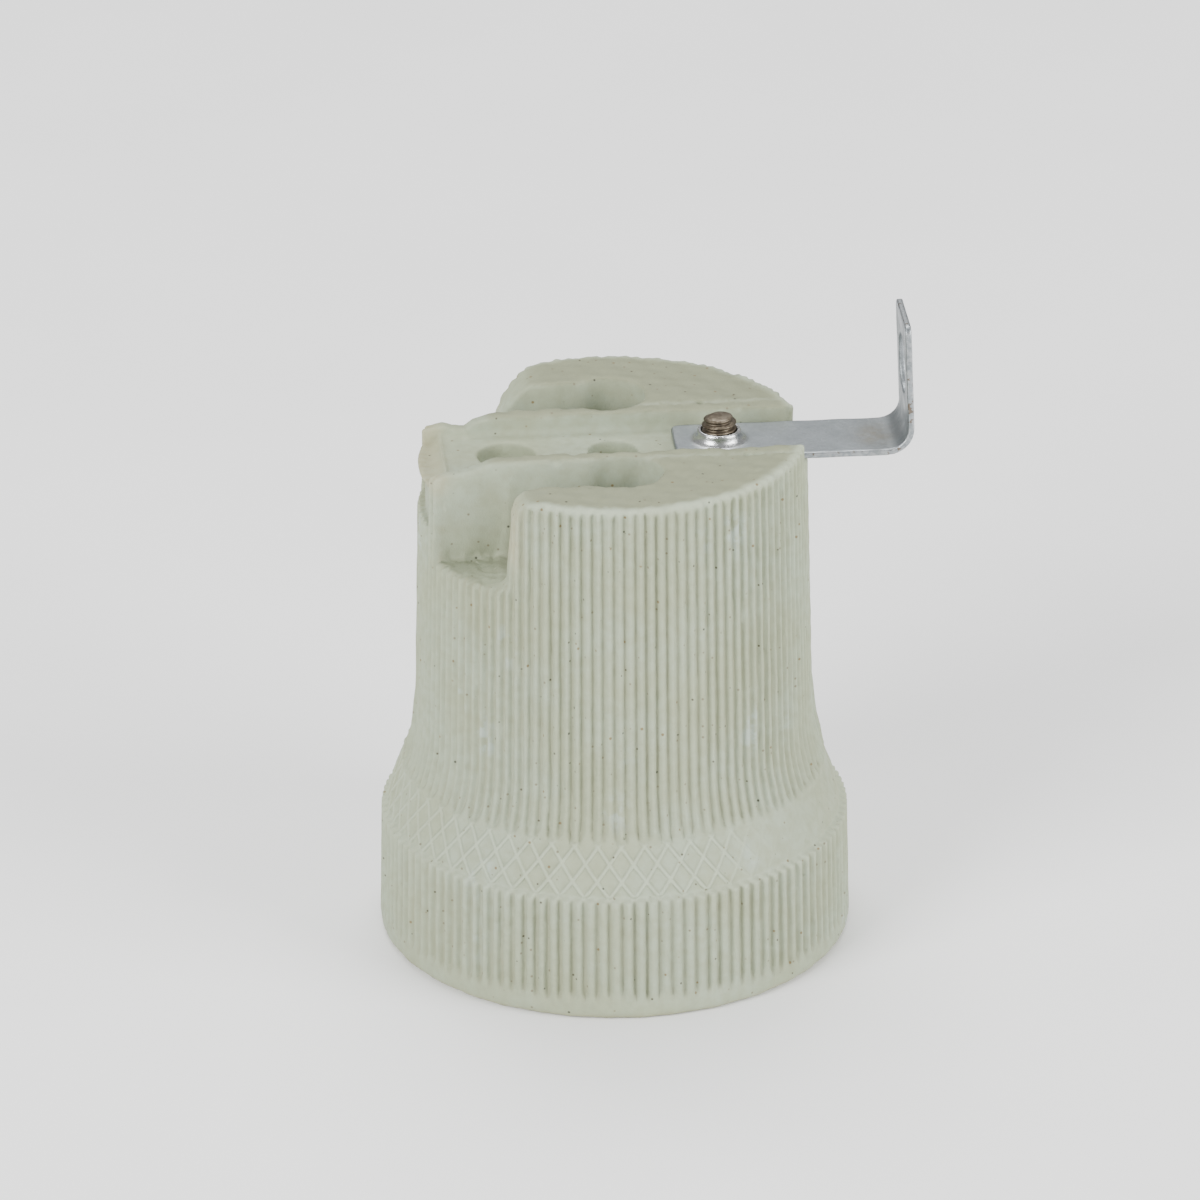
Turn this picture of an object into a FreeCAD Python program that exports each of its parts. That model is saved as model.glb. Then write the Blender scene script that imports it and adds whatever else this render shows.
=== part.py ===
import FreeCAD, Part
import math
import os

# E27 lampholder: an unglazed, ribbed porcelain body that stands on its mouth, with two keyhole
# wire pockets in its top, a rolled screw shell and a sprung centre contact inside, and an L-shaped
# steel mounting bracket clamped in a channel across the top.
#
# Millimetres. The origin is the centre of the mouth rim, +Z runs up the lamp axis from the mouth
# to the top, and +X runs along the channel to the bracket. Front is -Y and rear is +Y.

os.makedirs("parts", exist_ok=True)
V = FreeCAD.Vector
Z_AXIS = V(0, 0, 1)

# ---- Sizes that can be set one by one ----

# Outside of the porcelain
height = 52.6               # mouth rim to top lands
skirt_radius = 23.15        # over the ribs, at the top of the skirt
skirt_spread = 0.3          # the skirt widens by this much down to the rim
skirt_height = 12.9
shoulder_height = 4.8       # plain cone between skirt and barrel
barrel_foot_radius = 21.0   # over the ribs, where the cone ends
flare_height = 6.3          # the barrel's foot flares out over this height
flare_arc_radius = 16.5
top_radius = 18.95          # over the ribs, at the top lands
top_band = 1.2              # plain band between the ribs and the top lands
rim_band = 1.3              # plain band between the rim and the skirt ribs
top_edge_round = 0.5
rim_edge_round = 0.7
rib_depth = 0.5
barrel_rib_count = 116
skirt_rib_count = 118
rib_end_slope = 0.5         # the skirt ribs' upper ends are bevelled over this height
rib_end_drop = 0.25
seam = 0.03                 # plain bands stand this much clear of the rib outline beside them

# Mouth and cavity
mouth_radius = 19.2         # at the rim
mouth_draft = 0.4
mouth_depth = 11.0
mouth_edge_round = 0.7
shell_bore_clearance = 0.55
partition_thickness = 7.5   # porcelain between the pocket floors and the contacts

# Bracket channel across the top
channel_width = 9.2
channel_depth = 2.1
edge_chamfer = 0.35
ridge_drop = 1.35           # both ridges sink by this much at the end away from the bracket
ridge_drop_start = 11.2
ridge_drop_end = 15.0
corner_block_length = 2.3
corner_block_rise = 0.35
lip_distance = 16.4         # low lip across the channel, then a scoop to the outside
lip_width = 0.3
lip_height = 0.25
scoop_radius = 1.5
scoop_depth = 0.5
plain_patch_height = 4.4    # the ribs are left out under the channel's free end
station_distance = 10.4     # fixing holes, from the axis
fixing_hole_radius = 2.1
free_recess_radius = 2.8
free_recess_depth = 1.6
centre_recess_radius = 2.35
centre_recess_depth = 1.8
head_recess_clearance = 0.9
head_recess_depth = 4.3

# Keyhole wire pockets, one on each side of the channel
ridge_width = 1.75          # porcelain between channel and pocket
pocket_width = 5.85
pocket_depth = 10.1
well_radius = 3.7
well_offset = 0.3           # the well's centre, along the channel
land_end_distance = 11.3    # the outer lands end here, where the pockets open
land_end_round = 4.0
land_end_draft = 1.0

# Rolled screw shell, E27
thread_pitch = 3.629
shell_minor_radius = 12.25  # inside the crests that grip the lamp cap
shell_major_radius = 13.3   # inside the roots
shell_sheet = 0.35
shell_gap_to_ledge = 1.2    # the shell's open edge lies back from the mouth's ledge
shell_plain_end = 1.4       # the roll runs out over this height at both ends of the sleeve
shell_floor_edge = 3.6      # the floor fills only the rear part of the circle
shell_floor_thickness = 0.4

# Terminals
plate_thickness = 1.2
plate_side_clearance = 0.4
plate_length_beyond_screw = 8.9
rivet_radius = 1.2
rivet_head_radius = 1.5
rivet_head_height = 0.7
rivet_head_bevel = 0.4
rivet_hole_clearance = 0.3
inner_rivet_distance = 4.3  # from the terminal screw, along the pocket
outer_rivet_distance = 7.5
rivet_inset = 1.6           # from the pocket's middle, towards the channel
metal_clearance = 0.05      # pins and screws in the holes of sheet pieces
terminal_screw_radius = 1.7
terminal_screw_length = 6.0
terminal_head_radius = 3.0
terminal_head_height = 2.2
head_bevel = 0.4
driver_slot_width = 0.9
driver_slot_depth = 1.1
screw_tip_clearance = 1.5
clamp_side = 5.0
clamp_thickness = 0.8
clamp_corner_round = 0.5
clamp_hole_clearance = 0.2

# Centre contact
contact_thickness = 0.4
contact_width = 4.6
contact_reach = 5.6         # how far the contact's tip stands off the partition
contact_tail = 2.3          # beyond its rivet
contact_flat = 2.6          # flat foot on the other side of the rivet
contact_tip_length = 2.3
button_radius = 1.6
button_height = 1.0
button_bevel = 0.6
button_shank_radius = 0.9
button_upset_radius = 1.3    # the shank's spread end, above the leaf
button_upset_height = 0.33

# Bracket, its screw and washers
bracket_thickness = 0.65
bracket_width = 8.0
bracket_start = 6.0
bracket_reach = 29.1        # outer face of the upright leg, at its foot
bracket_bend_radius = 2.0   # inside
bracket_leg_height = 13.4   # from the strip's underside to the leg's end
bracket_leg_lean = 2.3      # degrees, towards the axis
bracket_corner_round = 0.8
bracket_slot_width = 4.8
bracket_slot_length = 6.0
bracket_slot_height = 8.1   # the slot's middle above the strip's underside
collar_radius = 2.15
collar_height = 1.25
collar_flare = 0.5
bracket_screw_radius = 1.7
bracket_screw_projection = 1.3   # beyond the collar
screw_end_chamfer = 0.35
bracket_head_radius = 3.0
bracket_head_height = 2.0
spring_washer_thickness = 0.9
spring_washer_radius = 2.9
spring_washer_gap = 0.5
flat_washer_thickness = 0.7
flat_washer_radius = 3.5

# ---- Places worked out from the sizes ----

FAR = 60.0                  # longer than anything in the part
BITE = 0.5                  # how far a joined or cut form runs past its neighbour

shoulder_top = skirt_height + shoulder_height
flare_top = shoulder_top + flare_height
ribs_top = height - top_band
channel_floor = height - channel_depth
pocket_floor = height - pocket_depth
partition_height = pocket_floor - partition_thickness
pocket_inner = channel_width / 2 + ridge_width
pocket_outer = pocket_inner + pocket_width
pocket_middle = (pocket_inner + pocket_outer) / 2
shell_outer_radius = shell_major_radius + shell_sheet
shell_bore_radius = shell_outer_radius + shell_bore_clearance
shell_open_edge = mouth_depth + shell_gap_to_ledge
plate_top = pocket_floor + plate_thickness
plate_width = pocket_width - 2 * plate_side_clearance
clamp_top = plate_top + clamp_thickness
rivet_offset = pocket_middle - rivet_inset
inner_rivet_place = well_offset - inner_rivet_distance
outer_rivet_place = well_offset - outer_rivet_distance
bracket_top = channel_floor + bracket_thickness
bracket_screw_end = bracket_top + collar_height + bracket_screw_projection
head_recess_floor = partition_height + head_recess_depth
flat_washer_bottom = head_recess_floor - flat_washer_thickness
bracket_head_top = flat_washer_bottom - spring_washer_thickness


# ---- Shared forms ----

def box(x0, x1, y0, y1, z0, z1):
    """Block between two corners."""
    return Part.makeBox(x1 - x0, y1 - y0, z1 - z0, V(x0, y0, z0))


def rod(radius, z0, z1, x=0.0, y=0.0):
    """Upright cylinder."""
    return Part.makeCylinder(radius, z1 - z0, V(x, y, z0), Z_AXIS)


def turned(edges):
    """Solid of revolution about the lamp axis from a closed outline in the XZ plane."""
    return Part.Face(Part.Wire(edges)).revolve(V(0, 0, 0), Z_AXIS, 360)


def line(start, end):
    """Straight edge between two points (radius or x, height)."""
    return Part.LineSegment(V(start[0], 0, start[1]), V(end[0], 0, end[1])).toShape()


def arc(start, middle, end):
    """Circular edge through three points (radius or x, height)."""
    points = [V(p[0], 0, p[1]) for p in (start, middle, end)]
    return Part.Arc(*points).toShape()


def rounded(start, end, centre, steps=2):
    """Quarter-round from start to end about a centre, as short straight edges."""
    first = math.atan2(start[1] - centre[1], start[0] - centre[0])
    last = math.atan2(end[1] - centre[1], end[0] - centre[0])
    radius = math.dist(start, centre)
    points = [start]
    for step in range(1, steps):
        angle = first + (last - first) * step / steps
        points.append((centre[0] + radius * math.cos(angle), centre[1] + radius * math.sin(angle)))
    points.append(end)
    return [line(p, q) for p, q in zip(points, points[1:])]


def swept_across(edges, y0, y1):
    """Solid from a closed XZ outline, extruded from y0 to y1."""
    face = Part.Face(Part.Wire(edges))
    face.translate(V(0, y0, 0))
    return face.extrude(V(0, y1 - y0, 0))


def round_edge(cylinder, level):
    """The end edge of an upright cylinder at one height."""
    return [e for e in cylinder.Edges if e.Closed and abs(e.CenterOfMass.z - level) < 1e-6][0]


def both_sides(shape):
    """A shape and its mirror image in the channel's middle plane."""
    return [shape, shape.mirror(V(0, 0, 0), V(0, 1, 0))]


def save(node, shape):
    """Write one sub-part."""
    shape = shape.removeSplitter()
    if not shape.isValid() or len(shape.Solids) != 1:
        raise ValueError(node + " is not one valid solid")
    shape.Solids[0].exportStep("parts/" + node + ".step")
    return shape.Solids[0]


# ---- Porcelain body ----

RIB_SHAPE = ((-0.2, 1.0), (0.2, 1.0), (0.5, 0.0))      # (share of the pitch, rise)
VALLEY_SHARE = 1 - rib_depth / barrel_foot_radius    # valley radius over crest radius


def stacked_faces(rings):
    """Facets between rings of points: each ring has as many points as the next."""
    faces = []
    for lower, upper in zip(rings, rings[1:]):
        for i in range(len(lower)):
            j = (i + 1) % len(lower)
            faces.append(Part.Face(Part.makePolygon([lower[i], lower[j], upper[j], upper[i], lower[i]])))
    return faces


def ribbed_ring(count, levels):
    """Solid with upright ribs. Levels are (height, radius over the ribs), bottom first.

    The valleys keep one share of the crest radius, so that every facet is flat.
    """
    rings = []
    for level, crest in levels:
        ring = []
        for rib in range(count):
            for phase, rise in RIB_SHAPE:
                angle = 2 * math.pi * (rib + phase) / count
                radius = crest * (VALLEY_SHARE + (1 - VALLEY_SHARE) * rise)
                ring.append(V(radius * math.cos(angle), radius * math.sin(angle), level))
        rings.append(ring)
    caps = [Part.Face(Part.makePolygon(ring + ring[:1])) for ring in (rings[0], rings[-1])]
    return Part.makeSolid(Part.makeShell(caps + stacked_faces(rings)))


def barrel_radius(level):
    """Radius over the barrel's ribs: a straight taper with a flared foot."""
    flare = max(0.0, flare_top - level) ** 2 / (2 * flare_arc_radius)
    foot_flare = flare_height ** 2 / (2 * flare_arc_radius)
    taper = (barrel_foot_radius - foot_flare - top_radius) / (height - shoulder_top)
    return top_radius + taper * (height - level) + flare


def smooth_blank():
    """The turned form under the ribs, with its plain rim, cone and top band."""
    rim_radius = skirt_radius + skirt_spread + seam
    cone_foot = (skirt_radius - rib_end_drop) * VALLEY_SHARE - seam
    cone_top = barrel_foot_radius + seam
    under_skirt = cone_foot - BITE
    under_barrel = top_radius * VALLEY_SHARE - BITE
    band_radius = barrel_radius(ribs_top) + seam
    rim_centre = (rim_radius - rim_edge_round, rim_edge_round)
    top_centre = (band_radius - top_edge_round, height - top_edge_round)
    edges = [line((0, 0), (rim_centre[0], 0))]
    edges += rounded((rim_centre[0], 0), (rim_radius, rim_centre[1]), rim_centre, 3)
    edges += [
        line((rim_radius, rim_centre[1]), (rim_radius, rim_band)),
        line((rim_radius, rim_band), (under_skirt, rim_band)),
        line((under_skirt, rim_band), (under_skirt, skirt_height - BITE)),
        line((under_skirt, skirt_height - BITE), (cone_foot, skirt_height)),
        line((cone_foot, skirt_height), (cone_top, shoulder_top)),
        line((cone_top, shoulder_top), (under_barrel, shoulder_top)),
        line((under_barrel, shoulder_top), (under_barrel, ribs_top)),
        line((under_barrel, ribs_top), (band_radius, ribs_top)),
        line((band_radius, ribs_top), (band_radius, top_centre[1])),
    ]
    edges += rounded((band_radius, top_centre[1]), (top_centre[0], height), top_centre)
    edges += [line((top_centre[0], height), (0, height)), line((0, height), (0, 0))]
    return turned(edges)


def ribbed_blank():
    """The whole outside form, before anything is cut."""
    barrel_levels = [shoulder_top, shoulder_top + flare_height / 2, flare_top, ribs_top]
    barrel = ribbed_ring(barrel_rib_count, [(z, barrel_radius(z)) for z in barrel_levels])
    skirt = ribbed_ring(skirt_rib_count, [
        (rim_band - BITE, skirt_radius + skirt_spread),
        (skirt_height - rib_end_slope, skirt_radius),
        (skirt_height, skirt_radius - rib_end_drop),
    ])
    return smooth_blank().fuse([barrel, skirt])


def mouth_tool():
    """Turned hollow: the wide mouth, then the bore that holds the screw shell."""
    inner = mouth_radius - mouth_draft
    outer = mouth_radius + mouth_edge_round
    edges = [line((0, -BITE), (outer, -BITE)), line((outer, -BITE), (outer, 0))]
    edges += rounded((outer, 0), (mouth_radius, mouth_edge_round), (outer, mouth_edge_round))
    edges += [
        line((mouth_radius, mouth_edge_round), (inner, mouth_depth)),
        line((inner, mouth_depth), (shell_bore_radius, mouth_depth)),
        line((shell_bore_radius, mouth_depth), (shell_bore_radius, partition_height)),
        line((shell_bore_radius, partition_height), (0, partition_height)),
        line((0, partition_height), (0, -BITE)),
    ]
    return turned(edges)


def chamfered_slot(x0, x1, y0, y1, floor):
    """Slot along X, cut down to a floor, with chamfered upper edges."""
    outline = [
        (y0, floor),
        (y1, floor),
        (y1, height - edge_chamfer),
        (y1 + edge_chamfer + BITE, height + BITE),
        (y0 - edge_chamfer - BITE, height + BITE),
        (y0, height - edge_chamfer),
    ]
    points = [V(x0, y, z) for y, z in outline]
    return Part.Face(Part.makePolygon(points + points[:1])).extrude(V(x1 - x0, 0, 0))


def pocket_tool():
    """Rear keyhole pocket: the round well over the terminal screw and the slot for the wire."""
    well = rod(well_radius, pocket_floor, height + BITE, well_offset, pocket_middle)
    flare = Part.makeCone(well_radius, well_radius + edge_chamfer + BITE, edge_chamfer + BITE,
                          V(well_offset, pocket_middle, height - edge_chamfer), Z_AXIS)
    slot = chamfered_slot(-FAR, well_offset, pocket_inner, pocket_outer, pocket_floor)
    return [well, flare, slot]


def land_end_tool():
    """Clears the side of the body beyond the rear land, whose end is rounded off."""
    round_start = height - land_end_round
    foot = -land_end_distance - land_end_draft
    centre = (-land_end_distance + land_end_round, round_start)
    edges = [line((-FAR, pocket_floor), (foot, pocket_floor)),
             line((foot, pocket_floor), (-land_end_distance, round_start))]
    edges += rounded((-land_end_distance, round_start), (centre[0], height), centre, 4)
    edges += [line((centre[0], height), (centre[0], height + BITE)),
              line((centre[0], height + BITE), (-FAR, height + BITE)),
              line((-FAR, height + BITE), (-FAR, pocket_floor))]
    return swept_across(edges, pocket_inner, FAR)


def ridge_end_tool():
    """Lowers the ends of both ridges beside the channel's free end, but for the rear corner block."""
    sunk = height - ridge_drop
    outline = [
        line((-ridge_drop_start, height), (-ridge_drop_end, sunk)),
        line((-ridge_drop_end, sunk), (-FAR, sunk)),
        line((-FAR, sunk), (-FAR, height + BITE)),
        line((-FAR, height + BITE), (-ridge_drop_start, height + BITE)),
        line((-ridge_drop_start, height + BITE), (-ridge_drop_start, height)),
    ]
    sweep = swept_across(outline, -pocket_inner, pocket_inner)
    block = box(-FAR, corner_block_length - top_radius, channel_width / 2, pocket_inner,
                sunk, sunk + corner_block_rise)
    return sweep.cut(block)


def channel_tools():
    """The bracket channel, with a lip and a scoop at its free end."""
    channel = chamfered_slot(-FAR, FAR, -channel_width / 2, channel_width / 2, channel_floor)
    lip = box(-lip_distance - lip_width, -lip_distance, -channel_width / 2, channel_width / 2,
              channel_floor, channel_floor + lip_height)
    half_chord = math.sqrt(scoop_radius ** 2 - (scoop_radius - scoop_depth) ** 2)
    scoop = Part.makeCylinder(scoop_radius, channel_width,
                              V(-lip_distance - lip_width - half_chord, -channel_width / 2,
                                channel_floor + scoop_radius - scoop_depth), V(0, 1, 0))
    return [channel.cut(lip), scoop]


def plain_patch_tool():
    """Takes the ribs off under the channel's free end."""
    top = channel_floor - top_band / 2
    patch = box(-FAR, 0, -channel_width / 2, channel_width / 2, top - plain_patch_height, top)
    valley = rod(top_radius - rib_depth / 2, 0, height)
    return patch.cut(valley)


def station_tools():
    """Three places along the channel: two fixing holes, one of them free, and a blind centre recess."""
    tools = [
        rod(free_recess_radius, channel_floor - free_recess_depth, height, -station_distance),
        rod(centre_recess_radius, channel_floor - centre_recess_depth, height),
    ]
    for x in (-station_distance, station_distance):
        tools.append(rod(fixing_hole_radius, 0, height, x))
        tools.append(rod(flat_washer_radius + head_recess_clearance / 2, 0, head_recess_floor, x))
    return tools


def rivet_places():
    """Rivet name to its place (x, y)."""
    return {
        "front_terminal_rivet": (inner_rivet_place, -rivet_offset),
        "rear_inner_rivet": (inner_rivet_place, rivet_offset),
        "rear_outer_rivet": (outer_rivet_place, rivet_offset),
    }


def terminal_hole_tools():
    """Holes in the pocket floors: blind ones under the terminal screws, and the rivets' holes."""
    tip = clamp_top - terminal_screw_length - screw_tip_clearance
    tools = []
    for side in (-1, 1):
        tools.append(rod(terminal_screw_radius + rivet_hole_clearance, tip, height,
                         well_offset, side * pocket_middle))
    for x, y in rivet_places().values():
        tools.append(rod(rivet_radius + rivet_hole_clearance, 0, height, x, y))
    return tools


def porcelain_body():
    tools = [mouth_tool(), ridge_end_tool(), plain_patch_tool()]
    tools += channel_tools() + station_tools() + terminal_hole_tools()
    for tool in pocket_tool() + [land_end_tool()]:
        tools += both_sides(tool)
    return ribbed_blank().cut(tools)


# ---- Screw shell ----

SHELL_SIDES = 20            # facets round the sleeve
SHELL_ROWS_PER_PITCH = 5


def thread_rings(sheet):
    """Rings of points on the rolled thread, inside or, with the sheet's thickness, outside."""
    length = partition_height - shell_open_edge
    rows = round(length / thread_pitch * SHELL_ROWS_PER_PITCH)
    rings = []
    for row in range(rows + 1):
        level = shell_open_edge + length * row / rows
        to_end = min(level - shell_open_edge, partition_height - level)
        roll = (shell_major_radius - shell_minor_radius) * min(1.0, to_end / shell_plain_end)
        ring = []
        for side in range(SHELL_SIDES):
            turn = side / SHELL_SIDES
            wave = 0.5 + 0.5 * math.cos(2 * math.pi * (level / thread_pitch - turn))
            radius = shell_major_radius + sheet - roll * wave
            angle = 2 * math.pi * turn
            ring.append(V(radius * math.cos(angle), radius * math.sin(angle), level))
        rings.append(ring)
    return rings


def split_faces(rings):
    """As stacked_faces, for rings that are not alike: each facet is split in two."""
    faces = []
    for lower, upper in zip(rings, rings[1:]):
        for i in range(len(lower)):
            j = (i + 1) % len(lower)
            faces.append(Part.Face(Part.makePolygon([lower[i], lower[j], upper[j], lower[i]])))
            faces.append(Part.Face(Part.makePolygon([lower[i], upper[j], upper[i], lower[i]])))
    return faces


def screw_shell():
    """Thin sleeve with a rolled helical thread, and a floor over its rear part for the rivets."""
    outside = thread_rings(shell_sheet)
    inside = thread_rings(0)
    ends = []
    for outer, inner in ((outside[0], inside[0]), (outside[-1], inside[-1])):
        ends.append(Part.Face([Part.makePolygon(outer + outer[:1]), Part.makePolygon(inner + inner[:1])],
                              "Part::FaceMakerBullseye"))
    sleeve = Part.makeSolid(Part.makeShell(split_faces(outside) + split_faces(inside) + ends))
    floor = Part.Face(Part.makePolygon(inside[-1] + inside[-1][:1]))
    floor = floor.extrude(V(0, 0, -shell_floor_thickness))
    floor = floor.common(box(-FAR, FAR, shell_floor_edge, FAR, 0, height))
    for x in (inner_rivet_place, outer_rivet_place):
        floor = floor.cut(rod(rivet_radius + metal_clearance, 0, height, x, rivet_offset))
    return sleeve.fuse(floor)


# ---- Terminals ----

def terminal_plate(side):
    """Brass plate on the pocket floor, tapped for the terminal screw."""
    y = side * pocket_middle
    half = plate_width / 2
    plate = box(well_offset - plate_length_beyond_screw, well_offset, y - half, y + half,
                pocket_floor, plate_top)
    plate = plate.fuse(rod(half, pocket_floor, plate_top, well_offset, y))
    plate = plate.cut(rod(terminal_screw_radius + metal_clearance, 0, height, well_offset, y))
    for x, rivet_y in rivet_places().values():
        if rivet_y * side > 0:
            plate = plate.cut(rod(rivet_radius + metal_clearance, 0, height, x, rivet_y))
    return plate


def slotted_screw(radius, head_radius, head_height, shank_end, head_bottom, x, y, up=True):
    """Screw with a slotted cheese head above its shank, or below it if up is False."""
    direction = 1 if up else -1
    head_top = head_bottom + direction * head_height
    head = rod(head_radius, min(head_bottom, head_top), max(head_bottom, head_top), x, y)
    head = head.makeChamfer(head_bevel, [round_edge(head, head_top)])
    slot_floor = head_top - direction * driver_slot_depth
    slot = box(x - head_radius - BITE, x + head_radius + BITE, y - driver_slot_width / 2,
               y + driver_slot_width / 2, min(slot_floor, head_top + direction * BITE),
               max(slot_floor, head_top + direction * BITE))
    shank = rod(radius, min(shank_end, head_bottom), max(shank_end, head_bottom), x, y)
    shank = shank.makeChamfer(screw_end_chamfer, [round_edge(shank, shank_end)])
    return head.cut(slot).fuse(shank)


def terminal_screw(side):
    return slotted_screw(terminal_screw_radius, terminal_head_radius, terminal_head_height,
                         clamp_top - terminal_screw_length, clamp_top, well_offset, side * pocket_middle)


def wire_clamp(side):
    """Square washer that presses the wire on the plate."""
    y = side * pocket_middle
    half = clamp_side / 2
    washer = box(well_offset - half, well_offset + half, y - half, y + half, plate_top, clamp_top)
    corners = [e for e in washer.Edges if abs(e.BoundBox.ZLength - clamp_thickness) < 1e-6]
    washer = washer.makeFillet(clamp_corner_round, corners)
    return washer.cut(rod(terminal_screw_radius + clamp_hole_clearance, 0, height, well_offset, y))


def rivet(x, y, foot_thickness):
    """Rivet through plate, porcelain and the sheet piece under the partition."""
    foot = partition_height - foot_thickness
    upper = rod(rivet_head_radius, plate_top, plate_top + rivet_head_height, x, y)
    lower = rod(rivet_head_radius, foot - rivet_head_height, foot, x, y)
    upper = upper.makeChamfer(rivet_head_bevel, [round_edge(upper, plate_top + rivet_head_height)])
    lower = lower.makeChamfer(rivet_head_bevel, [round_edge(lower, foot - rivet_head_height)])
    return rod(rivet_radius, foot, plate_top, x, y).fuse([upper, lower])


# ---- Centre contact ----

def contact_length():
    """Distance from the contact's rivet to the lamp axis."""
    return math.hypot(inner_rivet_place, rivet_offset)


def contact_frame(shape):
    """Puts a shape made along X from the rivet in its place, pointing at the lamp axis."""
    turn = math.degrees(math.atan2(rivet_offset, -inner_rivet_place))
    shape.rotate(V(0, 0, 0), Z_AXIS, turn)
    shape.translate(V(inner_rivet_place, -rivet_offset, 0))
    return shape


def centre_contact_spring():
    """Bent leaf: flat foot under the partition, sloping tongue, level tip under the lamp's contact."""
    reach = contact_length()
    top = partition_height
    low = partition_height - contact_reach
    slope_end = reach - contact_tip_length
    run = slope_end - contact_flat
    lean = math.atan2(contact_reach - contact_thickness, run)
    shift = contact_thickness * math.tan(lean / 2)
    outline = [
        (-contact_tail, top),
        (contact_flat + shift, top),
        (slope_end + shift, low + contact_thickness),
        (reach + contact_tip_length, low + contact_thickness),
        (reach + contact_tip_length, low),
        (slope_end, low),
        (contact_flat, top - contact_thickness),
        (-contact_tail, top - contact_thickness),
    ]
    edges = [line(a, b) for a, b in zip(outline, outline[1:] + outline[:1])]
    leaf = swept_across(edges, -contact_width / 2, contact_width / 2)
    leaf = leaf.cut(rod(rivet_radius + metal_clearance, 0, height))
    leaf = leaf.cut(rod(button_shank_radius + metal_clearance, 0, height, reach))
    return contact_frame(leaf)


def contact_button():
    """Riveted contact point at the tip of the leaf, on the lamp axis."""
    low = partition_height - contact_reach
    dome = rod(button_radius, low - button_height, low)
    dome = dome.makeChamfer(button_bevel, [round_edge(dome, low - button_height)])
    leaf_top = low + contact_thickness
    shank = rod(button_shank_radius, low, leaf_top)
    upset = rod(button_upset_radius, leaf_top, leaf_top + button_upset_height)
    return dome.fuse([shank, upset])


# ---- Bracket, screw and washers ----

def bracket_outline():
    """XZ outline of the bent strip: level foot and upright leg."""
    inner = bracket_bend_radius
    outer = inner + bracket_thickness
    lean = math.radians(bracket_leg_lean)
    turn = math.pi / 2 + lean
    floor = channel_floor
    centre = (bracket_reach - outer, floor + outer)

    def around(radius, angle):
        return (centre[0] + radius * math.sin(angle), centre[1] - radius * math.cos(angle))

    def up_the_leg(point):
        return (point[0] - math.sin(lean) * leg, point[1] + math.cos(lean) * leg)

    outer_low = around(outer, turn)
    inner_low = around(inner, turn)
    leg = (floor + bracket_leg_height - outer_low[1]) / math.cos(lean)
    top = floor + bracket_thickness
    return [
        line((bracket_start, floor), (centre[0], floor)),
        arc((centre[0], floor), around(outer, turn / 2), outer_low),
        line(outer_low, up_the_leg(outer_low)),
        line(up_the_leg(outer_low), up_the_leg(inner_low)),
        line(up_the_leg(inner_low), inner_low),
        arc(inner_low, around(inner, turn / 2), (centre[0], top)),
        line((centre[0], top), (bracket_start, top)),
        line((bracket_start, top), (bracket_start, floor)),
    ]


def slot_through_leg():
    """Oblong hole in the upright leg, along X."""
    middle = channel_floor + bracket_slot_height
    radius = bracket_slot_width / 2
    half = bracket_slot_length / 2 - radius
    start = bracket_reach - bracket_bend_radius - bracket_thickness
    slot = box(start, FAR, -radius, radius, middle - half, middle + half)
    ends = [Part.makeCylinder(radius, FAR, V(start, 0, middle + end * half), V(1, 0, 0))
            for end in (-1, 1)]
    return slot.fuse(ends)


def mounting_bracket():
    strip = swept_across(bracket_outline(), -bracket_width / 2, bracket_width / 2)
    corners = [e for e in strip.Edges if e.Length < bracket_thickness * 1.01
               and (e.CenterOfMass.x < bracket_start + 1e-6
                    or e.CenterOfMass.z > channel_floor + bracket_leg_height - bracket_thickness)]
    strip = strip.makeFillet(bracket_corner_round, corners)
    collar = rod(collar_radius, bracket_top, bracket_top + collar_height, station_distance)
    root = Part.makeCone(collar_radius + collar_flare, collar_radius, collar_flare,
                         V(station_distance, 0, bracket_top), Z_AXIS)
    bore = rod(bracket_screw_radius + metal_clearance, 0, FAR, station_distance)
    return strip.fuse([collar, root]).cut([bore, slot_through_leg()])


def bracket_screw():
    return slotted_screw(bracket_screw_radius, bracket_head_radius, bracket_head_height,
                         bracket_screw_end, bracket_head_top, station_distance, 0, up=False)


def washer(radius, bottom, thickness):
    """Flat ring round the bracket screw."""
    ring = rod(radius, bottom, bottom + thickness, station_distance)
    return ring.cut(rod(bracket_screw_radius + metal_clearance, 0, height, station_distance))


def bracket_spring_washer():
    """Split ring, pressed flat under the head."""
    ring = washer(spring_washer_radius, bracket_head_top, spring_washer_thickness)
    split = box(station_distance, station_distance + FAR, -spring_washer_gap / 2, spring_washer_gap / 2,
                0, height)
    return ring.cut(split)


def build():
    save("porcelain_body", porcelain_body())
    save("screw_shell", screw_shell())
    for side, name in ((-1, "front"), (1, "rear")):
        save(name + "_terminal_plate", terminal_plate(side))
        save(name + "_terminal_screw", terminal_screw(side))
        save(name + "_wire_clamp", wire_clamp(side))
    for name, (x, y) in rivet_places().items():
        foot = contact_thickness if y < 0 else shell_floor_thickness
        save(name, rivet(x, y, foot))
    save("centre_contact_spring", centre_contact_spring())
    save("contact_button", contact_button())
    save("mounting_bracket", mounting_bracket())
    save("bracket_screw", bracket_screw())
    save("bracket_spring_washer", bracket_spring_washer())
    save("bracket_flat_washer", washer(flat_washer_radius, flat_washer_bottom, flat_washer_thickness))


build()
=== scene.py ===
import math

import bpy
import numpy as np
from mathutils import Matrix, Vector


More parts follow.
